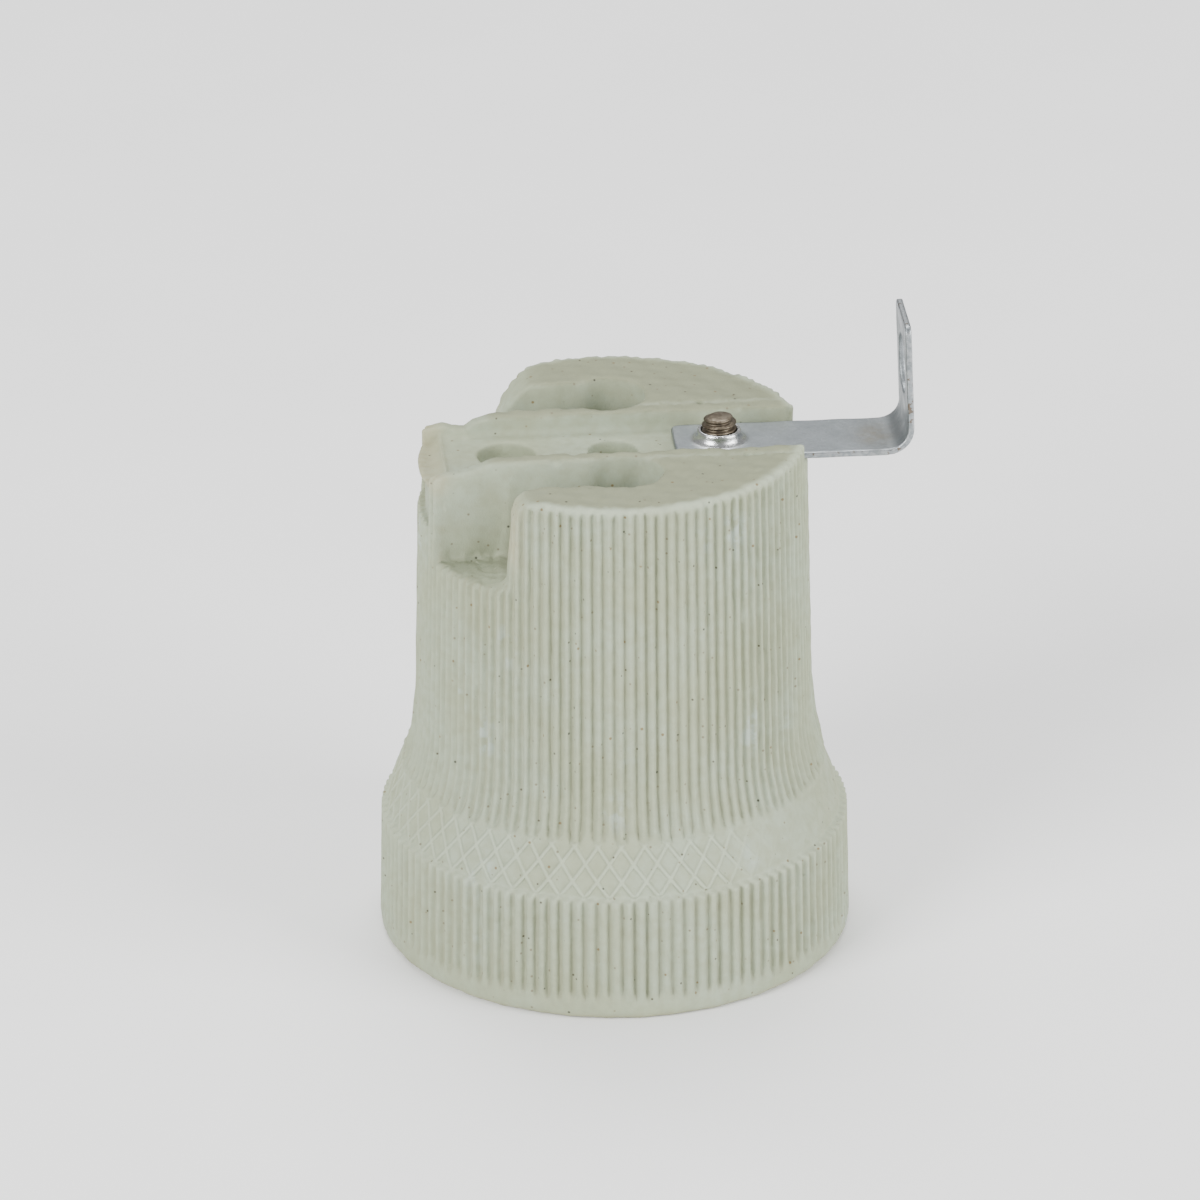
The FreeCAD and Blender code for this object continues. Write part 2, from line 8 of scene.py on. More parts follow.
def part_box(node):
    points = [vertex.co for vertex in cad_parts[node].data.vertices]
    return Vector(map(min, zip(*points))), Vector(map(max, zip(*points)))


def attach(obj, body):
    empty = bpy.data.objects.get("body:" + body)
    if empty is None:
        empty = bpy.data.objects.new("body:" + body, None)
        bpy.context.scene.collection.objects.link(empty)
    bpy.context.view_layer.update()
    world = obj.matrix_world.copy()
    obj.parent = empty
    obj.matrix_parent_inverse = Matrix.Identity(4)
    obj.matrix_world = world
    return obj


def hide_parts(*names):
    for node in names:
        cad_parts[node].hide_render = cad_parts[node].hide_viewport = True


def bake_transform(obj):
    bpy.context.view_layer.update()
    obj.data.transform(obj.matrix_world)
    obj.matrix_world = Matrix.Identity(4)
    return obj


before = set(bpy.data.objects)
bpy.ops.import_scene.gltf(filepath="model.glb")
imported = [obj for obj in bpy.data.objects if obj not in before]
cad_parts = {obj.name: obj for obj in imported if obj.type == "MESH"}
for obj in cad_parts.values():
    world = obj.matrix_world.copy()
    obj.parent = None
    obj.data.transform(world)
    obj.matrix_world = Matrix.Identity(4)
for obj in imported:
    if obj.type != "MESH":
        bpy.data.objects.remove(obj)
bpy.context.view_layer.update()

# Looks of the porcelain lampholder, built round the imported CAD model.
# Shapes are worked out in millimetres in the CAD frame and scaled to metres when a mesh is made.

MM = 0.001
random = np.random.default_rng(7)


# ---- Sizes read from the CAD nodes ----

def node_box(node):
    """Lowest and highest corner of a CAD node, in millimetres."""
    low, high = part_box(node)
    return np.array(low) / MM, np.array(high) / MM


strip_low, strip_high = node_box("mounting_bracket")
shell_low, shell_high = node_box("screw_shell")
plate_low, plate_high = node_box("rear_terminal_plate")

# Porcelain's outside, bottom to top
HEIGHT = node_box("porcelain_body")[1][2]
RIM_BAND = 1.3
SKIRT_TOP = 12.9
SHOULDER_TOP = 17.7                 # where the cone meets the barrel
FLARE_TOP = 24.0                    # the barrel curves outwards below this
SKIRT_RADIUS = 23.15                # at the skirt's top
SKIRT_SPREAD = 0.3                  # added to it at the bottom
FOOT_RADIUS = 21.0
TOP_RADIUS = 18.95
FLARE_CURVE = 33.0
SKIRT_RIBS = 118
BARREL_RIBS = 116
RIB_DEPTH = 0.5
RIB_SLOPE = 0.93                    # makes up for the ribs' slopes in the distance to the outside
LOZENGES = 58                       # round the cone
LOZENGE_ROWS = 1.5

# Channel and pockets
FLOOR = strip_low[2]                # channel floor, which the bracket lies on
POCKET = plate_low[2]               # pocket floor
CHANNEL = 4.6                       # half the channel's width
RIDGE = 6.35                        # outer face of the ridges
POCKET_MIDDLE = (plate_low[1] + plate_high[1]) / 2
SLOT_HALF = 2.925                   # half the width of a pocket's slot
WELL_X = 0.3
WELL_RADIUS = 3.7

# Holes, as radii
STATION = 10.4                      # fixing holes, from the axis
FIXING_HOLE = 2.1
FREE_RECESS = 2.8
MIDDLE_RECESS = 2.35
HEAD_RECESS = 3.95                  # round the fixing holes, under the partition
TERMINAL_HOLE = 2.0
RIVET_HOLE = 1.5                    # in the porcelain
RIVET_SHANK = 1.25                  # in sheet
RIVET_Y = POCKET_MIDDLE - 1.6
INNER_RIVET_X = -4.0
OUTER_RIVET_X = -7.2

# Mouth and screw shell
MOUTH = 19.2
MOUTH_TOP = 11.0
BORE = 14.2
PARTITION = shell_high[2]           # underside of the partition
SHELL_EDGE = shell_low[2]
SHELL_ROOT = 13.3
THREAD_DEPTH = 1.05
THREAD_PITCH = 3.629

# Bracket
BEND = 2.0                          # inside radius
SHEET = 0.65
REACH = 29.1                        # from the axis to the leg's outer face
LEG = 13.4                          # height above the channel floor
LEG_LEAN = math.radians(2.3)
STRIP_HALF = 4.0
LEG_SLOT = 8.1                      # height of the slot's middle above the channel floor
COLLAR = 2.15
TAPPED_HOLE = 1.75
CLAMP_HOLE = 1.9

# Screws
SCREW_RADIUS = 1.7
SCREW_HEAD = 3.0
SCREW_PITCH = 0.6
SCREW_SLOPE = 0.85                  # the same for the thread


# ---- Signed-distance modelling ----

def smooth_max(a, b, blend):
    """Larger of two distances, rounded where they meet."""
    near = np.maximum(blend - np.abs(a - b), 0) / blend
    return np.maximum(a, b) + near * near * blend * 0.25


def smooth_min(a, b, blend):
    return -smooth_max(-a, -b, blend)


def smooth_step(low, high, value):
    t = np.clip((value - low) / (high - low), 0, 1)
    return t * t * (3 - 2 * t)


def polygon_distance(u, v, points):
    """Signed distance in a plane to a closed outline, negative inside."""
    best = np.full(np.broadcast(u, v).shape, 1e9)
    inside = np.zeros(best.shape, bool)
    for (u0, v0), (u1, v1) in zip(points, points[1:] + points[:1]):
        du, dv = u1 - u0, v1 - v0
        share = np.clip(((u - u0) * du + (v - v0) * dv) / (du * du + dv * dv), 0, 1)
        best = np.minimum(best, np.hypot(u - u0 - share * du, v - v0 - share * dv))
        if dv:
            inside ^= ((v0 > v) != (v1 > v)) & (u < du * (v - v0) / dv + u0)
    return np.where(inside, -best, best)


def rounded_rectangle(u, v, low, high, corner):
    """Signed distance in a plane to a rectangle with round corners."""
    du = np.abs(u - (low[0] + high[0]) / 2) - (high[0] - low[0]) / 2 + corner
    dv = np.abs(v - (low[1] + high[1]) / 2) - (high[1] - low[1]) / 2 + corner
    outer = np.hypot(np.maximum(du, 0), np.maximum(dv, 0))
    return outer + np.minimum(np.maximum(du, dv), 0) - corner


def upright(x, y, radius):
    """Distance to an upright cylinder."""
    def distance(px, py, pz):
        return np.hypot(px - x, py - y) - radius + 0 * pz
    return distance


def between(shape, low, high, blend=0.3):
    """A form cut off below low and above high."""
    def distance(x, y, z):
        return smooth_max(shape(x, y, z), np.maximum(low - z, z - high), blend)
    return distance


def steps(*runs):
    """Grid levels from runs of (start, end, step)."""
    levels = [np.arange(start, end - 1e-9, step) for start, end, step in runs]
    return np.concatenate(levels + [[runs[-1][1]]])


class Field:
    """Distance to a solid's surface sampled on a grid, negative inside."""

    def __init__(self, xs, ys, zs):
        self.axes = [np.asarray(a, np.float32) for a in (xs, ys, zs)]
        self.values = np.zeros([len(a) for a in self.axes], np.float32)

    def grids(self, part=(slice(None),) * 3):
        x, y, z = [a[s] for a, s in zip(self.axes, part)]
        return x[:, None, None], y[None, :, None], z[None, None, :]

    def part(self, low, high, margin=1.0):
        """Index ranges of the grid over a box."""
        found = []
        for axis, lo, hi in zip(self.axes, low, high):
            start = int(np.searchsorted(axis, lo - margin))
            found.append(slice(start, int(np.searchsorted(axis, hi + margin)) + 1))
        return tuple(found)

    def set(self, distance):
        self.values[:] = distance(*self.grids())

    def cut(self, distance, low, high, blend):
        """Takes away a form whose distance is negative inside it. Nothing changes outside the box."""
        part = self.part(low, high)
        self.values[part] = smooth_max(self.values[part], -distance(*self.grids(part)), blend)

    def add(self, distance, low, high, blend):
        part = self.part(low, high)
        self.values[part] = smooth_min(self.values[part], distance(*self.grids(part)), blend)

    def crossings(self, axis):
        """Where the surface crosses the grid's edges along one axis: points, cells round each, side."""
        values, cells = self.values, [n - 1 for n in self.values.shape]
        low, high = [slice(None)] * 3, [slice(None)] * 3
        low[axis], high[axis] = slice(None, -1), slice(1, None)
        inside = values < 0
        index = np.nonzero(inside[tuple(low)] != inside[tuple(high)])
        end = list(index)
        end[axis] = index[axis] + 1
        v0, v1 = values[index], values[tuple(end)]
        point = [self.axes[i][index[i]].astype(np.float64) for i in range(3)]
        point[axis] += v0 / (v0 - v1) * (self.axes[axis][end[axis]] - point[axis])
        others = [i for i in range(3) if i != axis]
        keep = np.ones(len(v0), bool)
        for i in others:
            keep &= (index[i] > 0) & (index[i] < cells[i])
        around = []
        for first, second in ((-1, -1), (0, -1), (0, 0), (-1, 0)):
            cell = [index[i].copy() for i in range(3)]
            cell[others[0]] += first
            cell[others[1]] += second
            around.append((cell[0] * cells[1] + cell[1]) * cells[2] + cell[2])
        return np.stack(point, 1)[keep], np.stack(around, 1)[keep], (v0 < 0)[keep] ^ (axis == 1)

    def mesh(self):
        """Vertices and quads of the zero level: one vertex in each cell that the surface crosses."""
        found = [self.crossings(axis) for axis in range(3)]
        ids = np.concatenate([around.ravel() for _, around, _ in found])
        points = np.concatenate([np.repeat(point, 4, 0) for point, _, _ in found])
        unique, where = np.unique(ids, return_inverse=True)
        count = np.bincount(where)
        vertices = np.stack([np.bincount(where, points[:, i]) / count for i in range(3)], 1)
        quads = []
        for _, around, flip in found:
            quad = np.searchsorted(unique, around)
            quads.append(np.where(flip[:, None], quad, quad[:, ::-1]))
        return vertices, np.concatenate(quads)


# ---- Pieces ----

def make_piece(name, vertices, faces, body, node, material):
    """Makes a piece that stands for a CAD node. A piece given no body is left unattached."""
    mesh = bpy.data.meshes.new(name)
    faces = np.asarray(faces, np.int32)
    corners = faces.shape[1]
    mesh.vertices.add(len(vertices))
    mesh.vertices.foreach_set("co", (np.asarray(vertices) * MM).astype(np.float32).ravel())
    mesh.loops.add(faces.size)
    mesh.loops.foreach_set("vertex_index", faces.ravel())
    mesh.polygons.add(len(faces))
    mesh.polygons.foreach_set("loop_start", np.arange(0, faces.size, corners, dtype=np.int32))
    mesh.update(calc_edges=True)
    mesh.validate()
    mesh.polygons.foreach_set("use_smooth", np.ones(len(mesh.polygons), bool))
    piece = bpy.data.objects.new(name, mesh)
    bpy.context.scene.collection.objects.link(piece)
    mesh.materials.append(material)
    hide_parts(node)
    if body:
        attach(piece, body)
    return piece


def thin_out(piece, triangles):
    """Collapses a dense mesh to a number of triangles, mostly on its flat parts."""
    count = sum(len(p.vertices) - 2 for p in piece.data.polygons)
    if count <= triangles:
        return
    modifier = piece.modifiers.new("thin_out", "DECIMATE")
    modifier.ratio = triangles / count
    graph = bpy.context.evaluated_depsgraph_get()
    mesh = bpy.data.meshes.new_from_object(piece.evaluated_get(graph))
    piece.modifiers.clear()
    old = piece.data
    piece.data = mesh
    mesh.name = piece.name
    bpy.data.meshes.remove(old)


def paint(piece, name, values):
    """Stores one number for each vertex, for the material."""
    layer = piece.data.attributes.new(name, "FLOAT", "POINT")
    layer.data.foreach_set("value", np.asarray(values, np.float32))


def vertices_of(piece):
    """Vertices of a piece in millimetres."""
    points = np.zeros(len(piece.data.vertices) * 3)
    piece.data.vertices.foreach_get("co", points)
    return points.reshape(-1, 3) / MM


def grid_faces(rows, columns, wrap_rows=False, wrap_columns=False):
    """Quads over a grid of vertices stored row by row."""
    i = np.arange(rows if wrap_rows else rows - 1)[:, None]
    j = np.arange(columns if wrap_columns else columns - 1)[None, :]
    i2, j2 = (i + 1) % rows, (j + 1) % columns
    quads = [i * columns + j, i * columns + j2, i2 * columns + j2, i2 * columns + j]
    return np.stack([np.broadcast_to(q, (i.shape[0], j.shape[1])).ravel() for q in quads], 1)


def turned(outline, sides, centre):
    """Closed solid turned from (radius, height) points, bottom first, with both ends on the axis."""
    angle = np.arange(sides) / sides * 2 * math.pi
    rings = np.array(outline[1:-1])
    x = centre[0] + rings[:, :1] * np.cos(angle)
    y = centre[1] + rings[:, :1] * np.sin(angle)
    vertices = np.stack([x, y, np.broadcast_to(rings[:, 1:], x.shape)], 2).reshape(-1, 3)
    poles = [(*centre, outline[0][1]), (*centre, outline[-1][1])]
    quads = grid_faces(len(rings), sides, False, True)
    here, after = np.arange(sides), (np.arange(sides) + 1) % sides
    top = (len(rings) - 1) * sides
    bottom_fan = np.stack([np.full(sides, len(vertices)), after, here], 1)
    top_fan = np.stack([np.full(sides, len(vertices) + 1), top + here, top + after], 1)
    faces = np.concatenate([quads[:, :3], quads[:, (0, 2, 3)], bottom_fan, top_fan])
    return np.concatenate([vertices, poles]), faces


def arc_points(centre, radius, start, end, count=5):
    """Points on an arc in (radius, height), angles in degrees."""
    turns = [math.radians(start + (end - start) * i / count) for i in range(count + 1)]
    return [(centre[0] + radius * math.cos(t), centre[1] + radius * math.sin(t)) for t in turns]


# ---- Materials ----

# Porcelain colours. The valley colour is brown dirt with painted shade in the rib valleys. The
# highlight colour is a painted highlight on the lozenges' lines and thin edges. The top and pocket
# colours are painted shade.
PORCELAIN_WARM = (0.281, 0.310, 0.210)
PORCELAIN_COOL = (0.297, 0.340, 0.251)
PORCELAIN_DULL = (0.240, 0.259, 0.171)
PORCELAIN_BLUE = (0.376, 0.446, 0.419)
PORCELAIN_VALLEY_DIRT_AND_SHADE = (0.198, 0.185, 0.108)
PORCELAIN_HIGHLIGHT = (0.378, 0.425, 0.321)
PORCELAIN_RIM = (0.409, 0.337, 0.191)
PORCELAIN_TOP_SHADE = (0.201, 0.213, 0.135)
PORCELAIN_POCKET_SHADE = (0.159, 0.160, 0.112)
SPECKS = (                          # size of a cell, radius as a share of it, share left out, colour
    (1.7, 0.090, 0.35, (0.045, 0.032, 0.018)),
    (2.6, 0.065, 0.45, (0.016, 0.013, 0.010)),
    (1.6, 0.120, 0.60, (0.150, 0.100, 0.040)),
    (0.9, 0.180, 0.80, (0.150, 0.130, 0.080)),
)


class Shader:
    """Short names for the nodes of one material. Sizes are real and given in millimetres."""

    def __init__(self, name):
        self.material = bpy.data.materials.new(name)
        self.material.use_nodes = True
        self.tree = self.material.node_tree
        self.surface = self.tree.nodes["Principled BSDF"]
        self.place = self.tree.nodes.new("ShaderNodeTexCoord").outputs["Object"]

    def node(self, kind, inputs=(), **settings):
        made = self.tree.nodes.new("ShaderNode" + kind)
        for key, value in settings.items():
            setattr(made, key, value)
        for key, value in dict(inputs).items():
            if isinstance(value, bpy.types.NodeSocket):
                self.tree.links.new(value, made.inputs[key])
            else:
                made.inputs[key].default_value = value
        return made

    def stretched(self, x, y, z):
        """Object coordinates stretched along the axes."""
        return self.node("Mapping", {"Vector": self.place, "Scale": (x, y, z)}).outputs[0]

    def noise(self, size, detail=3.0, place=None):
        made = self.node("TexNoise", {"Vector": place or self.place, "Scale": 1 / (size * MM),
                                      "Detail": detail})
        return made.outputs["Fac"]

    def cells(self, size, place=None):
        """Distance to the nearest of scattered points, and a random number for that point."""
        made = self.node("TexVoronoi", {"Vector": place or self.place, "Scale": 1 / (size * MM)})
        pick = self.node("SeparateColor", {"Color": made.outputs["Color"]}).outputs["Red"]
        return made.outputs["Distance"], pick

    def ramp(self, value, low, high, start=0.0, end=1.0):
        """Value between low and high becomes start to end, smoothly."""
        inputs = {"Value": value, "From Min": low, "From Max": high, "To Min": start, "To Max": end}
        return self.node("MapRange", inputs, interpolation_type="SMOOTHSTEP").outputs["Result"]

    def math(self, operation, a, b):
        return self.node("Math", {0: a, 1: b}, operation=operation).outputs[0]

    def times(self, *values):
        result = values[0]
        for value in values[1:]:
            result = self.math("MULTIPLY", result, value)
        return result

    def mix(self, share, a, b):
        """Colour a where share is 0, and b where it is 1."""
        made = self.node("Mix", data_type="RGBA")
        for socket, value in (("Factor_Float", share), ("A_Color", a), ("B_Color", b)):
            target = next(s for s in made.inputs if s.identifier == socket)
            if isinstance(value, bpy.types.NodeSocket):
                self.tree.links.new(value, target)
            else:
                target.default_value = (*value, 1.0) if isinstance(value, tuple) else value
        return next(s for s in made.outputs if s.identifier == "Result_Color")

    def painted(self, name):
        return self.node("Attribute", attribute_name=name).outputs["Fac"]

    def bump(self, height, depth, strength=1.0):
        inputs = {"Height": height, "Distance": depth * MM, "Strength": strength}
        return self.node("Bump", inputs).outputs["Normal"]

    def finish(self, colour, roughness, normal, **constants):
        for socket, value in (("Base Color", colour), ("Roughness", roughness), ("Normal", normal)):
            self.tree.links.new(value, self.surface.inputs[socket])
        for socket, value in constants.items():
            self.surface.inputs[socket.replace("_", " ")].default_value = value
        return self.material


def rib_masks(s):
    """How near a point is to the valleys of both rows of ribs, and to the lozenges' lines."""
    axes = s.node("SeparateXYZ", {"Vector": s.place}).outputs
    turn = s.math("MULTIPLY", s.math("ARCTAN2", axes["Y"], axes["X"]), 1 / (2 * math.pi))
    upper = s.math("PINGPONG", s.math("MULTIPLY", turn, BARREL_RIBS), 0.5)
    lower = s.math("PINGPONG", s.math("MULTIPLY", turn, SKIRT_RIBS), 0.5)
    rows = LOZENGE_ROWS / ((SHOULDER_TOP - SKIRT_TOP) * MM)
    climb = s.math("MULTIPLY", s.math("SUBTRACT", SHOULDER_TOP * MM, axes["Z"]), rows)
    around = s.math("MULTIPLY", turn, LOZENGES)
    rising = s.math("PINGPONG", s.math("ADD", around, climb), 0.5)
    falling = s.math("PINGPONG", s.math("SUBTRACT", around, climb), 0.5)
    line = s.ramp(s.math("MINIMUM", rising, falling), 0.15, 0.05)
    return s.ramp(upper, 0.24, 0.46), s.ramp(lower, 0.20, 0.42), line


def porcelain_material():
    s = Shader("unglazed_porcelain")
    broad, fine, grain = s.noise(9, 4), s.noise(1.1, 4), s.noise(0.16, 2)
    colour = s.mix(s.ramp(broad, 0.35, 0.65), PORCELAIN_WARM, PORCELAIN_COOL)
    colour = s.mix(s.ramp(fine, 0.3, 0.75, 0, 0.5), colour, PORCELAIN_DULL)
    smear, _ = s.cells(7, s.stretched(1, 1, 0.6))
    smear = s.times(s.ramp(smear, 0.30, 0.10), s.ramp(s.noise(1.6, 5), 0.45, 0.62, 0, 0.55))
    colour = s.mix(smear, colour, PORCELAIN_BLUE)
    upper, lower, line = rib_masks(s)
    valley = s.math("ADD", s.times(upper, s.painted("barrel")), s.times(lower, s.painted("skirt")))
    # Painted shade: the top lands are darkened.
    colour = s.mix(s.times(s.painted("top"), 0.9), colour, PORCELAIN_TOP_SHADE)
    # Rib valleys darkened and browned: dirt, and painted shade in the creases.
    valley_dirt_and_shade = s.times(valley, s.ramp(s.noise(2.5, 4), 0.2, 0.7, 0.45, 1.0), 0.32)
    colour = s.mix(valley_dirt_and_shade, colour, PORCELAIN_VALLEY_DIRT_AND_SHADE)
    # Lozenges' lines lightened: worn crests, and a painted highlight.
    colour = s.mix(s.times(line, s.painted("cone"), 0.45), colour, PORCELAIN_HIGHLIGHT)
    # Thin edges lightened: a painted highlight along them.
    colour = s.mix(s.times(s.painted("edge"), 0.55), colour, PORCELAIN_HIGHLIGHT)
    # Painted shade in the wire pockets.
    colour = s.mix(s.times(s.painted("pocket_shade"), 0.85), colour, PORCELAIN_POCKET_SHADE)
    colour = s.mix(s.times(s.painted("warm"), 0.6), colour, PORCELAIN_RIM)
    for size, radius, share, dark in SPECKS:
        distance, pick = s.cells(size)
        spot = s.times(s.ramp(distance, radius, radius * 0.5), s.ramp(pick, share, share + 0.01), 0.85)
        colour = s.mix(spot, colour, dark)
    height = s.math("ADD", s.times(fine, 0.6), s.times(grain, 0.25))
    height = s.math("ADD", height, s.times(line, s.painted("cone"), 0.9))
    return s.finish(colour, s.ramp(fine, 0.2, 0.8, 0.58, 0.78), s.bump(height, 0.11, 0.85),
                    Specular_IOR_Level=0.3)


def metal_material(name, light, dark, rough, bump=0.02, size=2.0):
    """Metal with cloudy colour and a fine grain."""
    s = Shader(name)
    cloud, fine = s.noise(size, 5), s.noise(0.12)
    colour = s.mix(s.ramp(cloud, 0.3, 0.7), light, dark)
    colour = s.mix(s.ramp(fine, 0.35, 0.75, 0, 0.25), colour, dark)
    roughness = s.ramp(s.math("ADD", cloud, s.times(fine, 0.4)), 0.4, 1.0, rough, rough + 0.22)
    return s.finish(colour, roughness, s.bump(fine, bump), Metallic=1.0)


def zinc_material():
    """Dull zinc plate with a brown stain, cut edges lightened as bare metal and with a painted
    highlight, and a polished collar.
    """
    s = Shader("zinc_plate")
    cloud, fine = s.noise(1.6, 5), s.noise(0.11, 3, s.stretched(0.35, 1, 1))
    pits, _ = s.cells(0.33)
    colour = s.mix(s.ramp(cloud, 0.3, 0.7), (0.300, 0.325, 0.340), (0.215, 0.235, 0.245))
    colour = s.mix(s.ramp(fine, 0.35, 0.75, 0, 0.4), colour, (0.170, 0.185, 0.190))
    stain = s.times(s.painted("stain"), s.ramp(s.noise(1.1, 4), 0.35, 0.65, 0.4, 1.0), 0.75)
    colour = s.mix(stain, colour, (0.190, 0.170, 0.125))
    # Cut edges lightened: bare metal, and a painted highlight.
    edge = s.times(s.painted("edge"), s.ramp(s.noise(0.45, 3), 0.40, 0.58))
    colour = s.mix(s.times(edge, 0.5), colour, (0.420, 0.430, 0.435))
    rust = s.times(s.painted("edge"), s.ramp(s.noise(0.8 / 1.3), 0.62, 0.68))
    colour = s.mix(s.times(rust, 0.8), colour, (0.120, 0.080, 0.045))
    colour = s.mix(s.times(s.painted("collar"), 0.9), colour, (0.600, 0.610, 0.610))
    rough = s.ramp(cloud, 0.3, 0.7, 0.40, 0.56)
    rough = s.math("SUBTRACT", rough, s.times(s.painted("collar"), 0.26))
    height = s.math("ADD", fine, s.times(s.ramp(pits, 0.25, 0.0), 0.8))
    return s.finish(colour, rough, s.bump(height, 0.03, 0.8), Metallic=1.0)


# ---- Porcelain ----

def nearest_rib(angle, count):
    """Number of the nearest rib, and the distance from its crest as a share of the pitch."""
    phase = angle / (2 * math.pi) * count
    rib = np.floor(phase + 0.5)
    return rib.astype(int) % count, np.abs(phase - rib)


def barrel_radius(z):
    """Radius over the barrel's ribs: a taper, and a flare at its foot."""
    foot_flare = (FLARE_TOP - SHOULDER_TOP) ** 2 / FLARE_CURVE
    taper = (FOOT_RADIUS - foot_flare - TOP_RADIUS) / (HEIGHT - SHOULDER_TOP)
    return TOP_RADIUS + taper * (HEIGHT - z) + np.maximum(0, FLARE_TOP - z) ** 2 / FLARE_CURVE


def crispness(x):
    """1 where the lozenges are crisp, falling in the smeared patch towards the bracket."""
    return 0.15 + 0.85 * smooth_step(13.5, 7.5, x)


def outside(x, y, z):
    """Distance to the ribbed outside: skirt, cone, barrel and the mould's seams."""
    radius, angle = np.hypot(x, y), np.arctan2(y, x)
    spread = random.uniform(-0.03, 0.03, SKIRT_RIBS)
    depth = RIB_DEPTH * random.uniform(0.80, 1.05, SKIRT_RIBS)
    ends = random.uniform(-0.25, 0.25, SKIRT_RIBS)
    rib, off = nearest_rib(angle, SKIRT_RIBS)
    foot = RIM_BAND + 0.35 + ends[rib]
    pointed = smooth_step(0, 1, (z - foot) / 1.2 - (0.5 - off) * 1.2)
    skirt = SKIRT_RADIUS + SKIRT_SPREAD * (1 - z / SKIRT_TOP)
    skirt = skirt - depth[rib] * smooth_step(0.12, 0.44, off + spread[rib]) * pointed
    cone = np.interp(z, [SKIRT_TOP, 13.4, 14.7, 16.0, SHOULDER_TOP],
                     [22.40, 22.36, 21.98, 21.50, FOOT_RADIUS - 0.18])
    bowed = z + 1.2 * np.maximum(off - 0.25, 0) ** 2
    skirt_end = smooth_step(SKIRT_TOP + 0.06, SKIRT_TOP - 0.20, bowed)
    surface = cone + (skirt - cone) * skirt_end
    rib, off = nearest_rib(angle, BARREL_RIBS)
    valley = depth[rib] * smooth_step(0.08, 0.46, off + spread[rib])
    start = 18.05 + 0.5 * (rib % 2) + 0.7 * ends[rib]
    fade = smooth_step(start - 0.5, start + 0.5, z)
    fade = fade * (1 - 0.6 * smooth_step(HEIGHT - 1.1 + ends[rib], HEIGHT - 0.5 + ends[rib], z))
    tab = smooth_step(5.2, 4.4, np.abs(y)) * smooth_step(44.5, 45.5, z) * (x < 0)
    fade = fade * (1 - tab)
    barrel = barrel_radius(z) - valley * fade
    seam = np.exp(-(y / 0.28) ** 2) * smooth_step(17.5, 20, z) * smooth_step(27, 23, z)
    barrel = barrel + 0.32 * seam
    surface = surface + (barrel - surface) * smooth_step(SHOULDER_TOP - 0.4, SHOULDER_TOP + 0.4, z)
    return (radius - surface) * RIB_SLOPE


def lozenge_ridges(field):
    """Thin raised lines that cross on the cone in one and a half rows of lozenges."""
    part = field.part((-24, -24, SKIRT_TOP), (24, 24, SHOULDER_TOP), 0.5)
    x, y, z = field.grids(part)
    turn = np.arctan2(y, x) / (2 * math.pi) * LOZENGES
    climb = LOZENGE_ROWS * (SHOULDER_TOP - z) / (SHOULDER_TOP - SKIRT_TOP)
    fade = smooth_step(SKIRT_TOP - 0.1, SKIRT_TOP + 0.2, z) * smooth_step(18.3, 17.8, z)
    ridge = 0.0
    for direction in (1, -1):
        off = np.abs((turn + direction * climb + 0.5) % 1 - 0.5)
        ridge = np.maximum(ridge, smooth_step(0.17, 0.03, off))
    field.values[part] -= 0.20 * ridge * fade * crispness(x)


def keyhole(x, y):
    """Distance in plan to either wire pocket's outline."""
    across = np.abs(y) - POCKET_MIDDLE
    slot = np.maximum(np.abs(across) - SLOT_HALF, x - WELL_X)
    well = np.hypot(x - WELL_X, across) - WELL_RADIUS
    wavy = 0.10 * np.sin(1.7 * x + 0.8) * np.sin(0.9 * y)
    return smooth_min(slot, well, 0.8) + wavy


def channel_floor(x):
    """Height of the channel's floor: level, a low lip, then a scoop to the outside."""
    lip = 0.25 * np.exp(-((x + 16.55) / 0.16) ** 2)
    scoop = 0.75 * np.sqrt(np.clip(1 - ((x + 17.95) / 1.25) ** 2, 0, 1))
    return FLOOR + lip - scoop


def cut_top(field):
    """The uneven top lands with their soft edge, and the flat rim that the part stands on."""
    x, y, z = field.grids()
    lumps = 0.05 * np.sin(x * 0.55 + 1.3) * np.sin(y * 0.47 + 0.4) + 0.04 * np.sin(2.1 * x + 1.2 * y)
    lumps = lumps + 0.045 * np.sin(3.4 * y - 1.9 * x + 1.0) * np.sin(2.7 * x + 0.5)
    angle = np.arctan2(y, x)
    scallops = 0.6 * np.sin(31 * angle + 2 * np.sin(5 * angle))
    scallops = scallops + 0.4 * np.sin(57 * angle + 3 * np.sin(7 * angle))
    lumps = lumps + 0.10 * scallops * smooth_step(TOP_RADIUS - 1.3, TOP_RADIUS - 0.3, np.hypot(x, y))
    field.values = smooth_max(field.values, z - np.minimum(HEIGHT - 0.12 + lumps, HEIGHT), 0.42)
    field.values = smooth_max(field.values, -z + 0 * x, 1.0)


def cut_ridge_ends(field):
    """Both ridges sink towards the channel's free end, each in its own way."""
    front = ((-30, -18.1, -17, -15.3, -13.5, -12.5, -11.2, 30),
             (2.2, 2.0, 1.54, 1.26, 0.86, 0.37, 0, -2))
    rear = ((-30, -17.9, -16.1, -15.3, -14.1, -13.3, -12, -10.9, 30),
            (1.6, 1.3, 1.0, 1.3, 1.4, 0.77, 0.4, 0, -2))
    for sign, (distances, drops) in ((-1, front), (1, rear)):
        def ridge_end(x, y, z, sign=sign, distances=distances, drops=drops):
            sunk = HEIGHT - np.interp(x, distances, drops)
            return np.maximum(np.maximum(sunk - z, -sign * y), np.abs(y) - RIDGE - 0.6)
        field.cut(ridge_end, (-23, min(0, sign * 7), 49), (-10.6, max(0, sign * 7), 53), 0.25)


